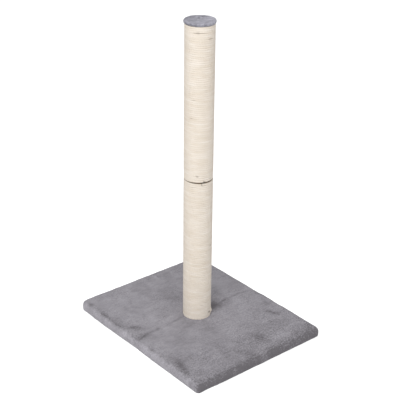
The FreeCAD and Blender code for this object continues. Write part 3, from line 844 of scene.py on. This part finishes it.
    def crease_line(self, x: float) -> float:
        """The crease's place along Y at a place across the board."""
        xs, ys = zip(*self.crease)
        return float(np.interp(x, xs, ys)) + rippled((x, 0.0, 0.0), self.crease_wander)

    def crease_share(self, x: float, y: float) -> float:
        """How deep the crease is at a point, from 0 to 1."""
        ragged = max(0.62 + 0.9 * rough((x, 0.0, 0.0), 0.028, 9.0), 0.05)
        return closeness(y - self.crease_line(x), self.crease_width) * ragged

    def push(self, point: np.ndarray, normal: np.ndarray) -> float:
        """How far the cloth stands proud of a perfect fit at a point.

        Args:
            point: the point on the covered board.
            normal: the way out there.

        Returns:
            The distance along the normal, negative where it is drawn in.
        """
        x, y, _ = point
        side = 1.0 - abs(normal[2])
        lift = self.loft + rippled(point, self.ripples) + side * rippled(point, self.side_ripples)
        lift -= self.crease_depth * self.crease_share(x, y)
        if normal[2] > BELOW:
            rim = max(abs(x) / (self.width / 2), abs(y) / (self.length / 2)) ** RIM_SHARPNESS
            past_left = ramp(x, -self.width / 2, 0.030 - self.width / 2)
            far = ramp(max(normal[0], normal[1] * past_left), 0.0, 0.5)
            lift += self.rim_lift * rim * past_left + self.far_lift * side * far
        if normal[2] > UPWARD:
            from_post = math.hypot(x - self.post_x, y - self.post_y)
            collar = closeness(from_post - self.post_radius - self.seat_edge, self.collar_reach)
            lift += self.collar_height * collar
        return lift

    def nap_and_painted_shade(self, points: np.ndarray, normals: np.ndarray) -> np.ndarray:
        """How pale the pile is drawn at each point: its nap tone, and painted light and shade on the
        sides, along the front rim, in the crease and beside the post.

        Args:
            points: the points of the cover.
            normals: the way out at each point.

        Returns:
            One number each, about -1 for dark and 1 for pale.
        """
        shade = np.zeros(len(points))
        for stroke in self.strokes:
            shade += stroke.shade * stroke.share(points)
        creased = np.array([self.crease_share(p[0], p[1]) for p in points])
        ragged = np.array([rough(p, 0.017, 4.0) for p in points])
        mottled = 0.22 * ragged + 0.16 * np.array([rough(p, 0.0075, 9.0) for p in points])
        tilt = np.hypot(normals[:, 0], normals[:, 1])
        turned = ramp(tilt + 0.12 * ragged, 0.08, 0.58)
        outward = normals / np.maximum(tilt, 0.05)[:, None]
        # painted light on the left sides, which face the lamp, painted shade on the front sides,
        # which face away, and a little painted shade on the rest; towards their foot the left sides
        # grow darker and the front sides paler
        low = ramp(points[:, 2], 0.011, 0.0)
        left = np.clip(-outward[:, 0], 0, 1) * (PaintedSideShading.TOWARDS_LIGHT.value - 0.45 * low**3)
        front = np.clip(-outward[:, 1], 0, 1) * (PaintedSideShading.AWAY_FROM_LIGHT.value + 0.40 * low)
        rest = np.clip(outward[:, :2].max(axis=1), 0, 1) * PaintedSideShading.ACROSS.value
        from_corner = np.hypot(points[:, 0] + self.width / 2, points[:, 1] + self.length / 2)
        corner = self.corner_shade * closeness(from_corner, self.corner)
        sides = turned * (left + front + rest + mottled - corner)
        # painted shade on the top along the front rim, where it rounds over away from the lamp
        from_side = points[:, 1] + self.length / 2 + 0.014 * ragged
        over_rim = (1 - turned) * ramp(from_side, 0.038, 0.0) ** 1.2
        over = 0.7 * PaintedSideShading.AWAY_FROM_LIGHT.value * over_rim
        over -= self.front_shade * ramp(points[:, 1], -0.06, -0.20)
        # painted shade in the crease
        over -= self.crease_shade * creased * (1 - turned)
        return shade * (1 - 0.3 * turned) + sides + over

    def ruffle(self, points: np.ndarray, normals: np.ndarray) -> np.ndarray:
        """How much the tufts stand up at each point, most along the rims and the front."""
        front = ramp(points[:, 1], -0.10, -0.22)
        rim_x = ramp(np.abs(points[:, 0]), 0.215, 0.245)
        rim_y = ramp(np.abs(points[:, 1]), 0.270, 0.300)
        side = 1 - np.abs(normals[:, 2])
        return 0.45 * front + 0.30 * np.maximum(rim_x, rim_y) * (1 - side) - 0.25 * side

    def flat_sheet(self, across: float, along: float) -> Object:
        """Cuts the flat sheet, without the corners that the mitres take away.

        Args:
            across: its size along X.
            along: its size along Y.

        Returns:
            The sheet, lying flat.
        """
        deselect_all()
        bpy.ops.mesh.primitive_grid_add(
            x_subdivisions=round(across / self.cell),
            y_subdivisions=round(along / self.cell),
            size=1.0,
        )
        sheet = bpy.context.object
        sheet.scale = (across, along, 1.0)
        sheet = settle(sheet, "plush_base_cover")
        delete_faces(sheet, self.off_the_cut)
        return sheet

    def shaped(self, folded: np.ndarray, normals: np.ndarray) -> np.ndarray:
        """Puffs up, pulls in and presses down the folded sheet.

        Args:
            folded: its points, folded tight round the board.
            normals: the way out at each point.

        Returns:
            Where the points end up.
        """
        lifts = np.array([self.push(p, n) for p, n in zip(folded, normals)])
        for stroke in self.strokes:
            if stroke.dent:
                lifts -= stroke.dent * stroke.share(folded)
        # the hem itself lies flat on the floor
        lifts *= ramp(normals[:, 2], -0.95, -0.5)
        points = folded + normals * lifts[:, None]
        for axis, edge in ((0, -self.width / 2), (1, -self.length / 2)):
            tucked = ramp(points[:, axis], edge + self.tuck_reach, edge)
            points[:, axis] += self.near_tuck * tucked
        from_post = np.hypot(points[:, 0] - self.post_x, points[:, 1] - self.post_y)
        pressed = ramp(from_post, self.post_radius, self.post_radius - self.seat_edge)
        ceiling = self.height + self.headroom * (1 - pressed) - self.seat_depth * pressed
        over = normals[:, 2] > UPWARD
        points[:, 2] = np.where(over, np.minimum(points[:, 2], ceiling), points[:, 2])
        points[:, 2] = np.maximum(points[:, 2], 0.0)
        return points

    def build(self) -> Object:
        """Cuts the flat sheet, folds it round the board and dresses it."""
        reach = self.run_to_hem() - self.top_round
        cut_x, cut_y = self.width + 2 * reach, self.length + 2 * reach
        cover = self.flat_sheet(cut_x, cut_y)
        mesh = cover.data
        flat = points_of(mesh)
        folded = np.array([self.fold(x, y) for x, y, _ in flat])
        move_points(mesh, self.mitre(flat, folded))
        merge_doubles(2 * MERGE_DISTANCE)
        normals = np.array([vertex.normal[:] for vertex in mesh.vertices])
        points = self.shaped(points_of(mesh), normals)
        move_points(mesh, points)
        write_attribute(mesh, "nap_and_painted_shade", self.nap_and_painted_shade(points, normals))
        write_attribute(mesh, "ruffle", self.ruffle(points, normals))
        give_thickness(cover, self.thickness, room_over(points, "base_board", round_board=False))
        cover.data.materials.append(self.finish.material())
        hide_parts(self.node)
        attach(cover, self.body)
        return cover


@dataclass
class CapCover:
    """The plush disc drawn over the cap's board and gathered under its rim."""

    node: str = "cap_plush_cover"
    body: str = TOP_BODY
    centre_x: float = 0.006
    centre_y: float = 0.012
    foot: float = 0.9903
    height: float = 0.011
    radius: float = 0.048
    top_round: float = 0.0035
    low_round: float = 0.0050
    hem: float = 0.016
    # how much shorter the rounded rims make the cloth's way to the hem's end
    rim_saving: float = 0.004
    thickness: float = 0.0030
    around: int = 144
    pleats: int = 17
    pleat_depth: float = 0.0004
    # how the gathered rim wanders in and out, read on a circle of radius 1
    rim_wander: tuple[Ripple, ...] = (Ripple(0.0011, 0.45, 3.0),)
    drawn_in: float = 0.0006
    pressed_down: float = 0.0004
    rim_ripples: tuple[Ripple, ...] = (Ripple(0.0004, 0.006, 5.0),)
    top_ripples: tuple[Ripple, ...] = (Ripple(0.0005, 0.020, 1.0), Ripple(0.0003, 0.006, 2.0))
    # the painted shade on the rim is lightest on this side
    pale_azimuth: float = -75.0
    strokes: tuple[Stroke, ...] = (
        # a pale tuft, the painted shadow in the pit beside it, and a dark spot
        Stroke(0.0140, 0.0140, 0.024, 0.008, 50, 0.95, -0.0004),
        Stroke(0.0070, 0.0125, 0.016, 0.009, 50, -1.30, 0.0008),
        Stroke(0.0237, 0.0180, 0.016, 0.009, -40, -0.90, 0.0004),
        Stroke(-0.0300, 0.0070, 0.026, 0.014, -40, -0.40),
        Stroke(-0.0290, -0.0350, 0.034, 0.016, -40, -0.45),
        Stroke(-0.0200, 0.0050, 0.030, 0.006, -38, 0.35),
        Stroke(0.0050, -0.0160, 0.034, 0.006, -44, 0.30),
        Stroke(0.0220, -0.0080, 0.030, 0.005, -30, -0.30),
        Stroke(-0.0080, 0.0260, 0.026, 0.006, -50, -0.30),
        # painted shade to the left and painted light to the right, across the whole top
        Stroke(-0.0250, 0.0210, 0.044, 0.060, -40, -0.14),
        Stroke(0.0260, -0.0200, 0.044, 0.060, -40, 0.55),
    )
    finish: PlushFinish = PlushFinish(
        name="polyester_plush_sheared_grey_cap",
        pale="C3C2CD",
        deep="7D7C85",
        patch_mm=16.0,
        streak_mm=3.2,
        streak_length_mm=22.0,
        ruffle_mm=30.0,
        tuft_mm=2.2,
        patch_share=0.42,
        streak_share=0.62,
        tuft_share=0.70,
    )

    def rings(self) -> list[tuple[float, float]]:
        """The cover's rings from the hem's end to the top's centre, as radius and height."""
        low, top = self.low_round, self.top_round
        rise = self.height - low - top
        rings = [(self.radius - self.hem + (self.hem - low) * n / 6, 0.0) for n in range(6)]
        for turn in (math.pi / 8 * n for n in range(4)):
            rings.append((self.radius - low * (1 - math.sin(turn)), low * (1 - math.cos(turn))))
        rings += [(self.radius, low + rise * n / 4) for n in range(4)]
        for turn in (math.pi / 12 * n for n in range(6)):
            out = self.radius - top * (1 - math.cos(turn))
            rings.append((out, self.height - top * (1 - math.sin(turn))))
        flat = self.radius - top
        # the last ring stays a little open, and is then merged to the centre
        return rings + [(flat * (1 - n / 14) + 0.0005, self.height) for n in range(14)]

    def drape(self, point: np.ndarray) -> np.ndarray:
        """Shifts one point of the plain cap to where the gathered cloth lies.

        Args:
            point: the point, measured from the cap's centre and foot.

        Returns:
            Its new place, measured the same way.
        """
        x, y, z = point
        reach = math.hypot(x, y)
        if reach < 1e-6:
            return point
        turn = math.atan2(y, x)
        way = np.array([x / reach, y / reach, 0.0])
        around = (math.cos(turn), math.sin(turn), 0.0)
        low = ramp(z, self.height * 0.8, 0.0)
        rim = min(1.0, reach / self.radius) ** 6
        pleat = self.pleat_depth * math.sin(self.pleats * turn + 2.4 * rough(around, 0.6, 7.0))
        out = rippled(around, self.rim_wander) - self.drawn_in
        out = rim * (out + low * pleat + rippled(point, self.rim_ripples))
        up = 0.0
        if z > self.height / 2:
            up = rippled(point, self.top_ripples) - self.pressed_down
            for stroke in self.strokes:
                off = math.hypot(x - stroke.x, y - stroke.y)
                up -= stroke.dent * closeness(off, stroke.width / 2)
        elif z < self.low_round:
            up = abs(pleat)
        return np.array([x, y, z + up]) + way * out

    def nap_and_painted_shade(self, points: np.ndarray) -> np.ndarray:
        """How pale the pile is drawn at each point: painted shade on the rim, a small pale tuft with
        its painted shadow, painted shade and light across the top, and random tone.
        """
        local = points - np.array([self.centre_x, self.centre_y, self.foot])
        azimuth = np.arctan2(local[:, 1], local[:, 0])
        # painted shade on the cap's rim and lower side, lightest towards pale_azimuth
        rim = 0.75 - 0.40 * np.cos(azimuth - math.radians(self.pale_azimuth))
        shade = -rim * np.clip(1.25 - local[:, 2] / (self.height * 0.9), 0, 1)
        for stroke in self.strokes:
            shade += stroke.shade * stroke.share(local)
        return shade + 0.30 * np.array([rough(p, 0.008, 8.0) for p in local])

    def plain_cap(self) -> Object:
        """Extrudes the rings into a plain cap, with its foot at the origin."""
        deselect_all()
        rings = self.rings()
        bpy.ops.mesh.primitive_circle_add(
            vertices=self.around, radius=rings[0][0], fill_type="NOTHING", location=(0, 0, 0)
        )
        cover = bpy.context.object
        make_active(cover)
        bpy.ops.object.mode_set(mode="EDIT")
        bpy.ops.mesh.select_mode(type="VERT")
        bpy.ops.mesh.select_all(action="SELECT")
        for (old, low), (new, high) in zip(rings, rings[1:]):
            bpy.ops.mesh.extrude_region_move(TRANSFORM_OT_translate={"value": (0, 0, high - low)})
            grow = new / old
            bpy.ops.transform.resize(value=(grow, grow, 1.0), center_override=(0, 0, 0))
        bpy.ops.mesh.merge(type="CENTER")
        bpy.ops.mesh.select_all(action="SELECT")
        bpy.ops.mesh.normals_make_consistent(inside=False)
        bpy.ops.object.mode_set(mode="OBJECT")
        return cover

    def build(self) -> Object:
        """Gathers the cloth over the board and dresses it."""
        cover = self.plain_cap()
        mesh = cover.data
        move_points(mesh, np.array([self.drape(p) for p in points_of(mesh)]))
        cover.location = (self.centre_x, self.centre_y, self.foot)
        cover = settle(cover, "plush_cap_cover")
        middle = self.foot + self.height / 2
        top = [face for face in mesh.polygons if face.center.z > middle]
        if sum(face.area * face.normal.z for face in top) < 0:
            mesh.flip_normals()
        points = points_of(mesh)
        write_attribute(mesh, "nap_and_painted_shade", self.nap_and_painted_shade(points))
        write_attribute(mesh, "ruffle", np.full(len(points), 0.25))
        give_thickness(cover, self.thickness, room_over(points, "cap_board", round_board=True))
        cover.data.materials.append(self.finish.material())
        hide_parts(self.node)
        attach(cover, self.body)
        return cover


# --- rope -------------------------------------------------------------------------------


def degrees_off(azimuth: float, other: float) -> float:
    """How far round it is from one azimuth to another, from -180 to 180 degrees."""
    return (azimuth - other + 180) % 360 - 180


@dataclass(frozen=True)
class TurnGap:
    """A place where two turns of the rope don't quite meet."""

    height: float
    azimuth: float
    span: float
    opening: float
    reach: float = 0.012


@dataclass(frozen=True)
class StainAndShade:
    """A dark spot on the rope, a stain at some places and painted shade at others, and how far the
    rope stands out there.
    """

    height: float
    azimuth: float
    span: float
    depth: float
    swell: float = 0.0


@dataclass
class Winding:
    """One column's sisal rope, wound from its foot to its top in one length.

    Near both ends each turn lies level and climbs to the next in its last quarter, and
    the rope's ends are pared down so that they tuck against the turn beside them.
    """

    name: str
    node: str
    body: str
    foot: float
    start_azimuth: float
    end_azimuth: float
    gaps: Sequence[TurnGap]
    stains_and_shade: Sequence[StainAndShade]
    neck_height: float
    neck: float
    seed: float
    column: float = 0.482
    margin: float = 0.0005
    seam: float = 0.50815
    wide: float = 0.0059
    tube: float = 0.0782
    centre_x: float = 0.006
    centre_y: float = 0.012
    whole_turns: int = 76
    steps: int = 48
    sides: int = 16
    squareness: float = 4.6
    neck_reach: float = 0.012
    # the turns wander a little up and out, but not this close to the ends
    wander_up: float = 0.00012
    wander_out: float = 0.00010
    even_turns: float = 1.5
    settling_turns: float = 4.0
    taper_turns: float = 0.22
    end_share: float = 0.40
    finish: SisalFinish = SisalFinish()

    def turns(self) -> float:
        """How many times the rope goes round, from its first end to its last."""
        return self.whole_turns + ((self.start_azimuth - self.end_azimuth) % 360) / 360

    def pitch(self) -> float:
        """The height from one turn to the next, which is also the rope's height."""
        return (self.column - 2 * self.margin) / (self.turns() - self.taper_turns)

    def stepped(self, turn: float) -> float:
        """The height in turns near an end: the first turn is level, and each later one climbs
        over the stretch where the rope's end tapers, and is level for the rest."""
        whole = math.floor(turn)
        if whole < 1:
            return 0.0
        climb = min((turn - whole) / self.taper_turns, 1.0)
        return whole - 1 + climb * climb * (3 - 2 * climb)

    def climb(self, turn: float) -> float:
        """The height in turns that the rope has climbed after so many turns."""
        total = self.turns()
        plain = turn - 0.5 - self.taper_turns / 2
        from_foot = self.stepped(turn) - plain
        from_top = total - 1 - self.taper_turns - self.stepped(total - turn) - plain
        at_foot = closeness(turn, self.settling_turns)
        at_top = closeness(total - turn, self.settling_turns)
        return plain + at_foot * from_foot + at_top * from_top

    def share(self, turn: float) -> float:
        """The rope's height, pared down towards its ends, as a share of the whole."""
        from_end = min(turn, self.turns() - turn) / self.taper_turns
        return self.end_share + (1 - self.end_share) * min(1.0, from_end) ** 0.8

    def soil_and_shade(self, points: np.ndarray) -> np.ndarray:
        """How far the rope is browned at each point, from 0 to 1: light grime all over, painted shade
        on the inner lips at the seam, and the listed stains and painted shade.
        """
        grime_and_shade = 0.025 + 0.03 * np.array([rough(p, 0.045, self.seed + 9) for p in points])
        outside = self.tube / 2 + self.wide - 0.0004
        from_axis = np.hypot(points[:, 0] - self.centre_x, points[:, 1] - self.centre_y)
        hidden = ramp(from_axis, outside, outside - 0.001)
        # painted shade on the rope's hidden inner lips, inside the seam's gap
        grime_and_shade += 0.7 * closeness(points[:, 2] - self.seam, 0.0030) * hidden
        for stain_and_shade in self.stains_and_shade:
            angle = math.radians(stain_and_shade.azimuth)
            spot = np.array([self.centre_x, self.centre_y, stain_and_shade.height])
            out = self.tube / 2 + self.wide
            spot = spot + out * np.array([math.cos(angle), math.sin(angle), 0.0])
            away = np.linalg.norm(points - spot, axis=1)
            grime_and_shade += stain_and_shade.depth * closeness(away, stain_and_shade.span)
        return np.clip(grime_and_shade, 0, 1)

    def parted(self, azimuth: float, height: float) -> float:
        """How far the gaps between turns push the rope up or down at a place."""
        shift = 0.0
        for gap in self.gaps:
            near = math.exp(-((degrees_off(azimuth, gap.azimuth) / gap.span) ** 4))
            above = height - gap.height
            shift += math.copysign(gap.opening / 2, above) * near * closeness(above, gap.reach)
        return shift

    def centre_line(self) -> tuple[np.ndarray, np.ndarray]:
        """Works out the rope's centre line.

        Returns:
            The points along it, and the share of the rope's height at each.
        """
        total = self.turns()
        pitch = self.pitch()
        count = round(total * self.steps)
        points, shares = [], []
        for n in range(count + 1):
            turn = total * n / count
            azimuth = self.start_azimuth - 360 * turn
            angle = math.radians(azimuth)
            share = self.share(turn)
            spare = (1 - share) * pitch / 2
            height = self.foot + self.margin + pitch / 2 + pitch * self.climb(turn)
            height += spare if turn > total / 2 else -spare
            around = (math.cos(angle) * 0.8, math.sin(angle) * 0.8, height / pitch * 0.9)
            ends = min(1.0, min(turn, total - turn) / self.even_turns)
            height += ends * self.wander_up * rough(around, 1.0, self.seed)
            out = self.tube / 2 + self.wide / 2
            out += ends * self.wander_out * (1 + rough(around, 1.0, self.seed + 5))
            height += self.parted(azimuth, height)
            for stain_and_shade in self.stains_and_shade:
                near = closeness(degrees_off(azimuth, stain_and_shade.azimuth), 8)
                out += stain_and_shade.swell * near * closeness(height - stain_and_shade.height, 1.4 * stain_and_shade.span)
            out -= self.neck * closeness(height - self.neck_height, self.neck_reach)
            spot = (self.centre_x + out * math.cos(angle), self.centre_y + out * math.sin(angle))
            points.append((*spot, height))
            shares.append(share)
        return np.array(points), np.array(shares)

    def section(self) -> Object:
        """Draws the rope's section, which the turns beside it have pressed a little square."""
        curve = bpy.data.curves.new(self.name + "_section", "CURVE")
        spline = curve.splines.new("POLY")
        spline.use_cyclic_u = True
        spline.points.add(self.sides - 1)
        power = 2 / self.squareness
        for n, point in enumerate(spline.points):
            angle = 2 * math.pi * (n + 0.5) / self.sides
            across, high = math.cos(angle), math.sin(angle)
            x = math.copysign(abs(across) ** power, across) * self.wide / 2
            y = math.copysign(abs(high) ** power, high) * self.pitch() * 0.497
            point.co = (x, y, 0.0, 1.0)
        section = bpy.data.objects.new(self.name + "_section", curve)
        bpy.context.scene.collection.objects.link(section)
        return section

    def sweep(self, line: np.ndarray) -> Object:
        """Makes a closed tube with the rope's section along the centre line.

        Args:
            line: the points along the rope.

        Returns:
            The tube as a mesh object.
        """
        section = self.section()
        curve = bpy.data.curves.new(self.name, "CURVE")
        curve.dimensions = "3D"
        curve.twist_mode = "Z_UP"
        curve.bevel_mode = "OBJECT"
        curve.bevel_object = section
        curve.use_fill_caps = True
        spline = curve.splines.new("POLY")
        spline.points.add(len(line) - 1)
        rows = np.hstack([line, np.ones((len(line), 1))])
        spline.points.foreach_set("co", rows.ravel())
        rope = bpy.data.objects.new(self.name, curve)
        bpy.context.scene.collection.objects.link(rope)
        make_active(rope)
        bpy.ops.object.convert(target="MESH")
        rope = bpy.context.object
        bpy.data.objects.remove(section)
        return rope

    def finish_run(self, rope: Object, line: np.ndarray, shares: np.ndarray) -> None:
        """Flattens the rope's two ends, and sizes its map to metres along and round it.

        Args:
            rope: the tube, with its own map still from 0 to 1 along it.
            line: the points along the rope.
            shares: the share of the rope's height at each point.
        """
        mesh = rope.data
        layer = mesh.uv_layers[0]
        layer.name = "run"
        uv = np.empty(len(mesh.loops) * 2)
        layer.data.foreach_get("uv", uv)
        corners = np.empty(len(mesh.loops), dtype=np.int64)
        mesh.loops.foreach_get("vertex_index", corners)
        along = np.zeros(len(mesh.vertices))
        along[corners] = uv[0::2]
        ring = np.clip(np.rint(along * (len(line) - 1)), 0, len(line) - 1).astype(int)
        points = points_of(mesh)
        points[:, 2] = line[ring, 2] + (points[:, 2] - line[ring, 2]) * shares[ring]
        move_points(mesh, points)
        length = float(np.linalg.norm(np.diff(line, axis=0), axis=1).sum())
        girth = math.pi * (self.wide + self.pitch()) / 2
        layer.data.foreach_set("uv", (uv.reshape(-1, 2) * np.array([length, girth])).ravel())
        make_active(rope)
        merge_doubles(MERGE_DISTANCE)
        bpy.ops.object.mode_set(mode="EDIT")
        bpy.ops.mesh.normals_make_consistent(inside=False)
        bpy.ops.object.mode_set(mode="OBJECT")

    def build(self) -> Object:
        """Winds the rope and dresses it."""
        line, shares = self.centre_line()
        rope = settle(self.sweep(line), self.name)
        self.finish_run(rope, line, shares)
        write_attribute(rope.data, "soil_and_shade", self.soil_and_shade(points_of(rope.data)))
        bpy.ops.object.shade_smooth()
        rope.data.materials.clear()
        rope.data.materials.append(self.finish.material())
        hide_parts(self.node)
        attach(rope, self.body)
        return rope


# --- pieces kept from the frame ---------------------------------------------------------


@dataclass
class Fittings:
    """The boards, tubes, plugs and fixings, which keep their own shape."""

    chipboard: tuple[str, ...] = ("base_board", "cap_board")
    tubes: tuple[str, ...] = ("lower_tube", "upper_tube")
    plugs: tuple[str, ...] = (
        "lower_bottom_plug",
        "lower_top_plug",
        "upper_bottom_plug",
        "upper_top_plug",
    )
    plated: tuple[str, ...] = (
        "base_bolt",
        "base_washer",
        "lower_bottom_insert_nut",
        "lower_top_insert_nut",
        "connecting_stud",
        "upper_bottom_insert_nut",
        "cap_screws",
    )
    staples: tuple[str, ...] = (
        "base_hem_staples",
        "lower_rope_staples",
        "upper_rope_staples",
        "cap_hem_staples",
    )

    def dress(self) -> None:
        """Gives each of these nodes its finish."""
        staple_wire = ZincFinish(
            name="galvanised_staple_wire", pale="9A9894", deep="75736F", bloom_mm=2.0, roughness=0.50
        )
        plans = (
            (self.chipboard, ChipboardFinish()),
            (self.tubes, KraftTubeFinish()),
            (self.plugs, SoftwoodFinish()),
            (self.plated, ZincFinish()),
            (self.staples, staple_wire),
        )
        for nodes, finish in plans:
            material = finish.material()
            for node in nodes:
                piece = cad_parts[node]
                for slot in piece.material_slots:
                    slot.material = material
                LOG.info("%s: %s", node, material.name)


# --- studio -----------------------------------------------------------------------------


@dataclass
class Studio:
    """A pale floor, a soft key from the front left, soft fill and the camera."""

    lens_mm: float = 94.49
    sensor_mm: float = 36.0
    eye: tuple[float, float, float] = (-1.8488, -2.2194, 1.8306)
    heading: float = 39.85
    pitch: float = 25.73
    roll: float = 0.68
    floor_size: float = 60.0
    paper: tuple[float, float, float, float] = (0.88, 0.88, 0.88, 1.0)
    white: tuple[float, float, float, float] = (1.0, 1.0, 1.0, 1.0)
    # what the camera sees of the floor, on top of its light, so that it shows as white
    floor_glow: float = 0.52
    sky: float = 0.60
    # in watts, and where it stands, in degrees from +X towards +Y
    key_power: float = 140.0
    key_azimuth: float = -140.0
    key_elevation: float = 38.0
    key_distance: float = 4.6
    key_size: float = 3.6
    aim: tuple[float, float, float] = (0.0, 0.0, 0.35)

    def camera(self) -> None:
        """Puts the camera where the photograph was taken from."""
        data = bpy.data.cameras.new("camera")
        data.lens = self.lens_mm
        data.sensor_width = self.sensor_mm
        eye = bpy.data.objects.new("camera", data)
        bpy.context.scene.collection.objects.link(eye)
        turn = Matrix.Rotation(math.radians(-self.heading), 4, "Z")
        tilt = Matrix.Rotation(math.radians(90 - self.pitch), 4, "X")
        roll = Matrix.Rotation(math.radians(self.roll), 4, "Z")
        eye.matrix_world = Matrix.Translation(self.eye) @ turn @ tilt @ roll
        bpy.context.scene.camera = eye

    def floor(self) -> None:
        """Lays a pale floor that keeps the object's shadow."""
        deselect_all()
        bpy.ops.mesh.primitive_plane_add(size=self.floor_size, location=(0, 0, 0))
        ground = bpy.context.object
        ground.name = "floor"
        material, tree = start_material("white_sweep_paper")
        seen = add_node(tree, "LightPath").outputs["Is Camera Ray"]
        paper = add_node(tree, "BsdfDiffuse", {"Color": self.paper})
        glow = add_node(tree, "Emission", {"Color": self.white, "Strength": self.floor_glow})
        both = add_node(tree, "AddShader", {0: paper.outputs[0], 1: glow.outputs[0]})
        mixed = {0: seen, 1: paper.outputs[0], 2: both.outputs[0]}
        shader = add_node(tree, "MixShader", mixed)
        add_node(tree, "OutputMaterial", {"Surface": shader.outputs[0]})
        ground.data.materials.append(material)

    def world(self) -> None:
        """Gives an even white sky that shows as plain white behind the floor."""
        world = bpy.data.worlds.new("studio")
        world.use_nodes = True
        tree = world.node_tree
        tree.nodes.clear()
        seen = add_node(tree, "LightPath")
        direct = add_node(
            tree,
            "Math",
            {0: seen.outputs["Is Camera Ray"], 1: seen.outputs["Is Glossy Ray"]},
            operation="MAXIMUM",
        ).outputs[0]
        strength = add_node(tree, "MapRange", {0: direct, 3: self.sky, 4: 1.0}).outputs[0]
        shine = add_node(tree, "Background", {"Color": self.white, "Strength": strength})
        add_node(tree, "OutputWorld", {"Surface": shine.outputs[0]})
        bpy.context.scene.world = world

    def key(self) -> None:
        """Adds the square soft lamp that points at the object."""
        data = bpy.data.lights.new("key", "AREA")
        data.energy = self.key_power
        data.size = self.key_size
        lamp = bpy.data.objects.new("key", data)
        bpy.context.scene.collection.objects.link(lamp)
        round_by, high = math.radians(self.key_azimuth), math.radians(self.key_elevation)
        level = math.cos(high)
        way = Vector((math.cos(round_by) * level, math.sin(round_by) * level, math.sin(high)))
        lamp.location = Vector(self.aim) + way * self.key_distance
        lamp.rotation_mode = "QUATERNION"
        lamp.rotation_quaternion = (-way).to_track_quat("-Z", "Y")

    def build(self) -> None:
        """Sets up the whole studio."""
        bpy.context.scene.view_settings.view_transform = "Standard"
        self.floor()
        self.world()
        self.key()
        self.camera()


# --- the whole post ---------------------------------------------------------------------


SEAM_GAP = TurnGap(0.50815, -104.0, 62, 0.0034, 0.030)
LOWER_GAPS = (
    SEAM_GAP,
    TurnGap(0.4990, -106.0, 7, 0.0010),
    TurnGap(0.4975, -152.0, 7, 0.0010),
    TurnGap(0.4920, -139.0, 5, 0.0008),
    TurnGap(0.2872, -66.9, 10, 0.0010),
    TurnGap(0.1080, -98.0, 22, 0.0010),
    TurnGap(0.0880, -89.0, 12, 0.0010),
    TurnGap(0.0780, -106.0, 12, 0.0010),
    TurnGap(0.0705, -122.0, 12, 0.0009),
    TurnGap(0.0950, -72.0, 12, 0.0010),
    TurnGap(0.0620, -76.0, 10, 0.0009),
)
UPPER_GAPS = (
    SEAM_GAP,
    TurnGap(0.9735, -130.0, 30, 0.0016),
    TurnGap(0.9530, -87.0, 9, 0.0013),
    TurnGap(0.7703, -149.0, 7, 0.0013),
    TurnGap(0.7161, -161.0, 7, 0.0012),
    TurnGap(0.5301, -135.0, 8, 0.0012),
)
# the dark spots beside the gaps between turns and in the hollow at the rope's foot are painted shade
LOWER_STAINS_AND_SHADE = (
    # the rope's end at the foot: painted shade in a hollow beside the strands that stand out
    StainAndShade(0.0455, -70.0, 0.0032, 1.4),
    StainAndShade(0.0440, -50.0, 0.0044, 0.0, 0.0038),
    StainAndShade(0.2872, -66.9, 0.0025, 0.4),
)
# the spots where turns part and the one at the seam are painted shade; the spot at 0.5190 is a stain
UPPER_STAINS_AND_SHADE = (
    StainAndShade(0.9735, -137.0, 0.0040, 0.40),
    StainAndShade(0.9530, -87.0, 0.0040, 0.28),
    StainAndShade(0.5301, -135.0, 0.0032, 0.48),
    StainAndShade(0.5190, -77.0, 0.0030, 0.30),
    StainAndShade(0.5108, -104.0, 0.0024, 0.90),
)


def windings() -> tuple[Winding, Winding]:
    """The rope of the lower and of the upper column."""
    lower = Winding(
        name="sisal_winding_lower",
        node="lower_sisal_rope",
        body=FOOT_BODY,
        foot=0.026,
        start_azimuth=-60.0,
        end_azimuth=-112.0,
        gaps=LOWER_GAPS,
        stains_and_shade=LOWER_STAINS_AND_SHADE,
        neck_height=0.495,
        neck=0.0003,
        seed=11.0,
    )
    upper = Winding(
        name="sisal_winding_upper",
        node="upper_sisal_rope",
        body=TOP_BODY,
        foot=0.5083,
        start_azimuth=-112.0,
        end_azimuth=120.0,
        gaps=UPPER_GAPS,
        stains_and_shade=UPPER_STAINS_AND_SHADE,
        neck_height=0.522,
        neck=0.0010,
        seed=23.0,
    )
    return lower, upper


def main() -> None:
    """Builds the covers, the rope, the finishes and the studio in order."""
    logging.basicConfig(level=logging.INFO, format="%(name)s: %(message)s")
    for maker in (BaseCover(), CapCover(), *windings()):
        piece = maker.build()
        LOG.info("%s: %d faces", piece.name, len(piece.data.polygons))
    Fittings().dress()
    Studio().build()


if __name__ == "__main__":
    main()
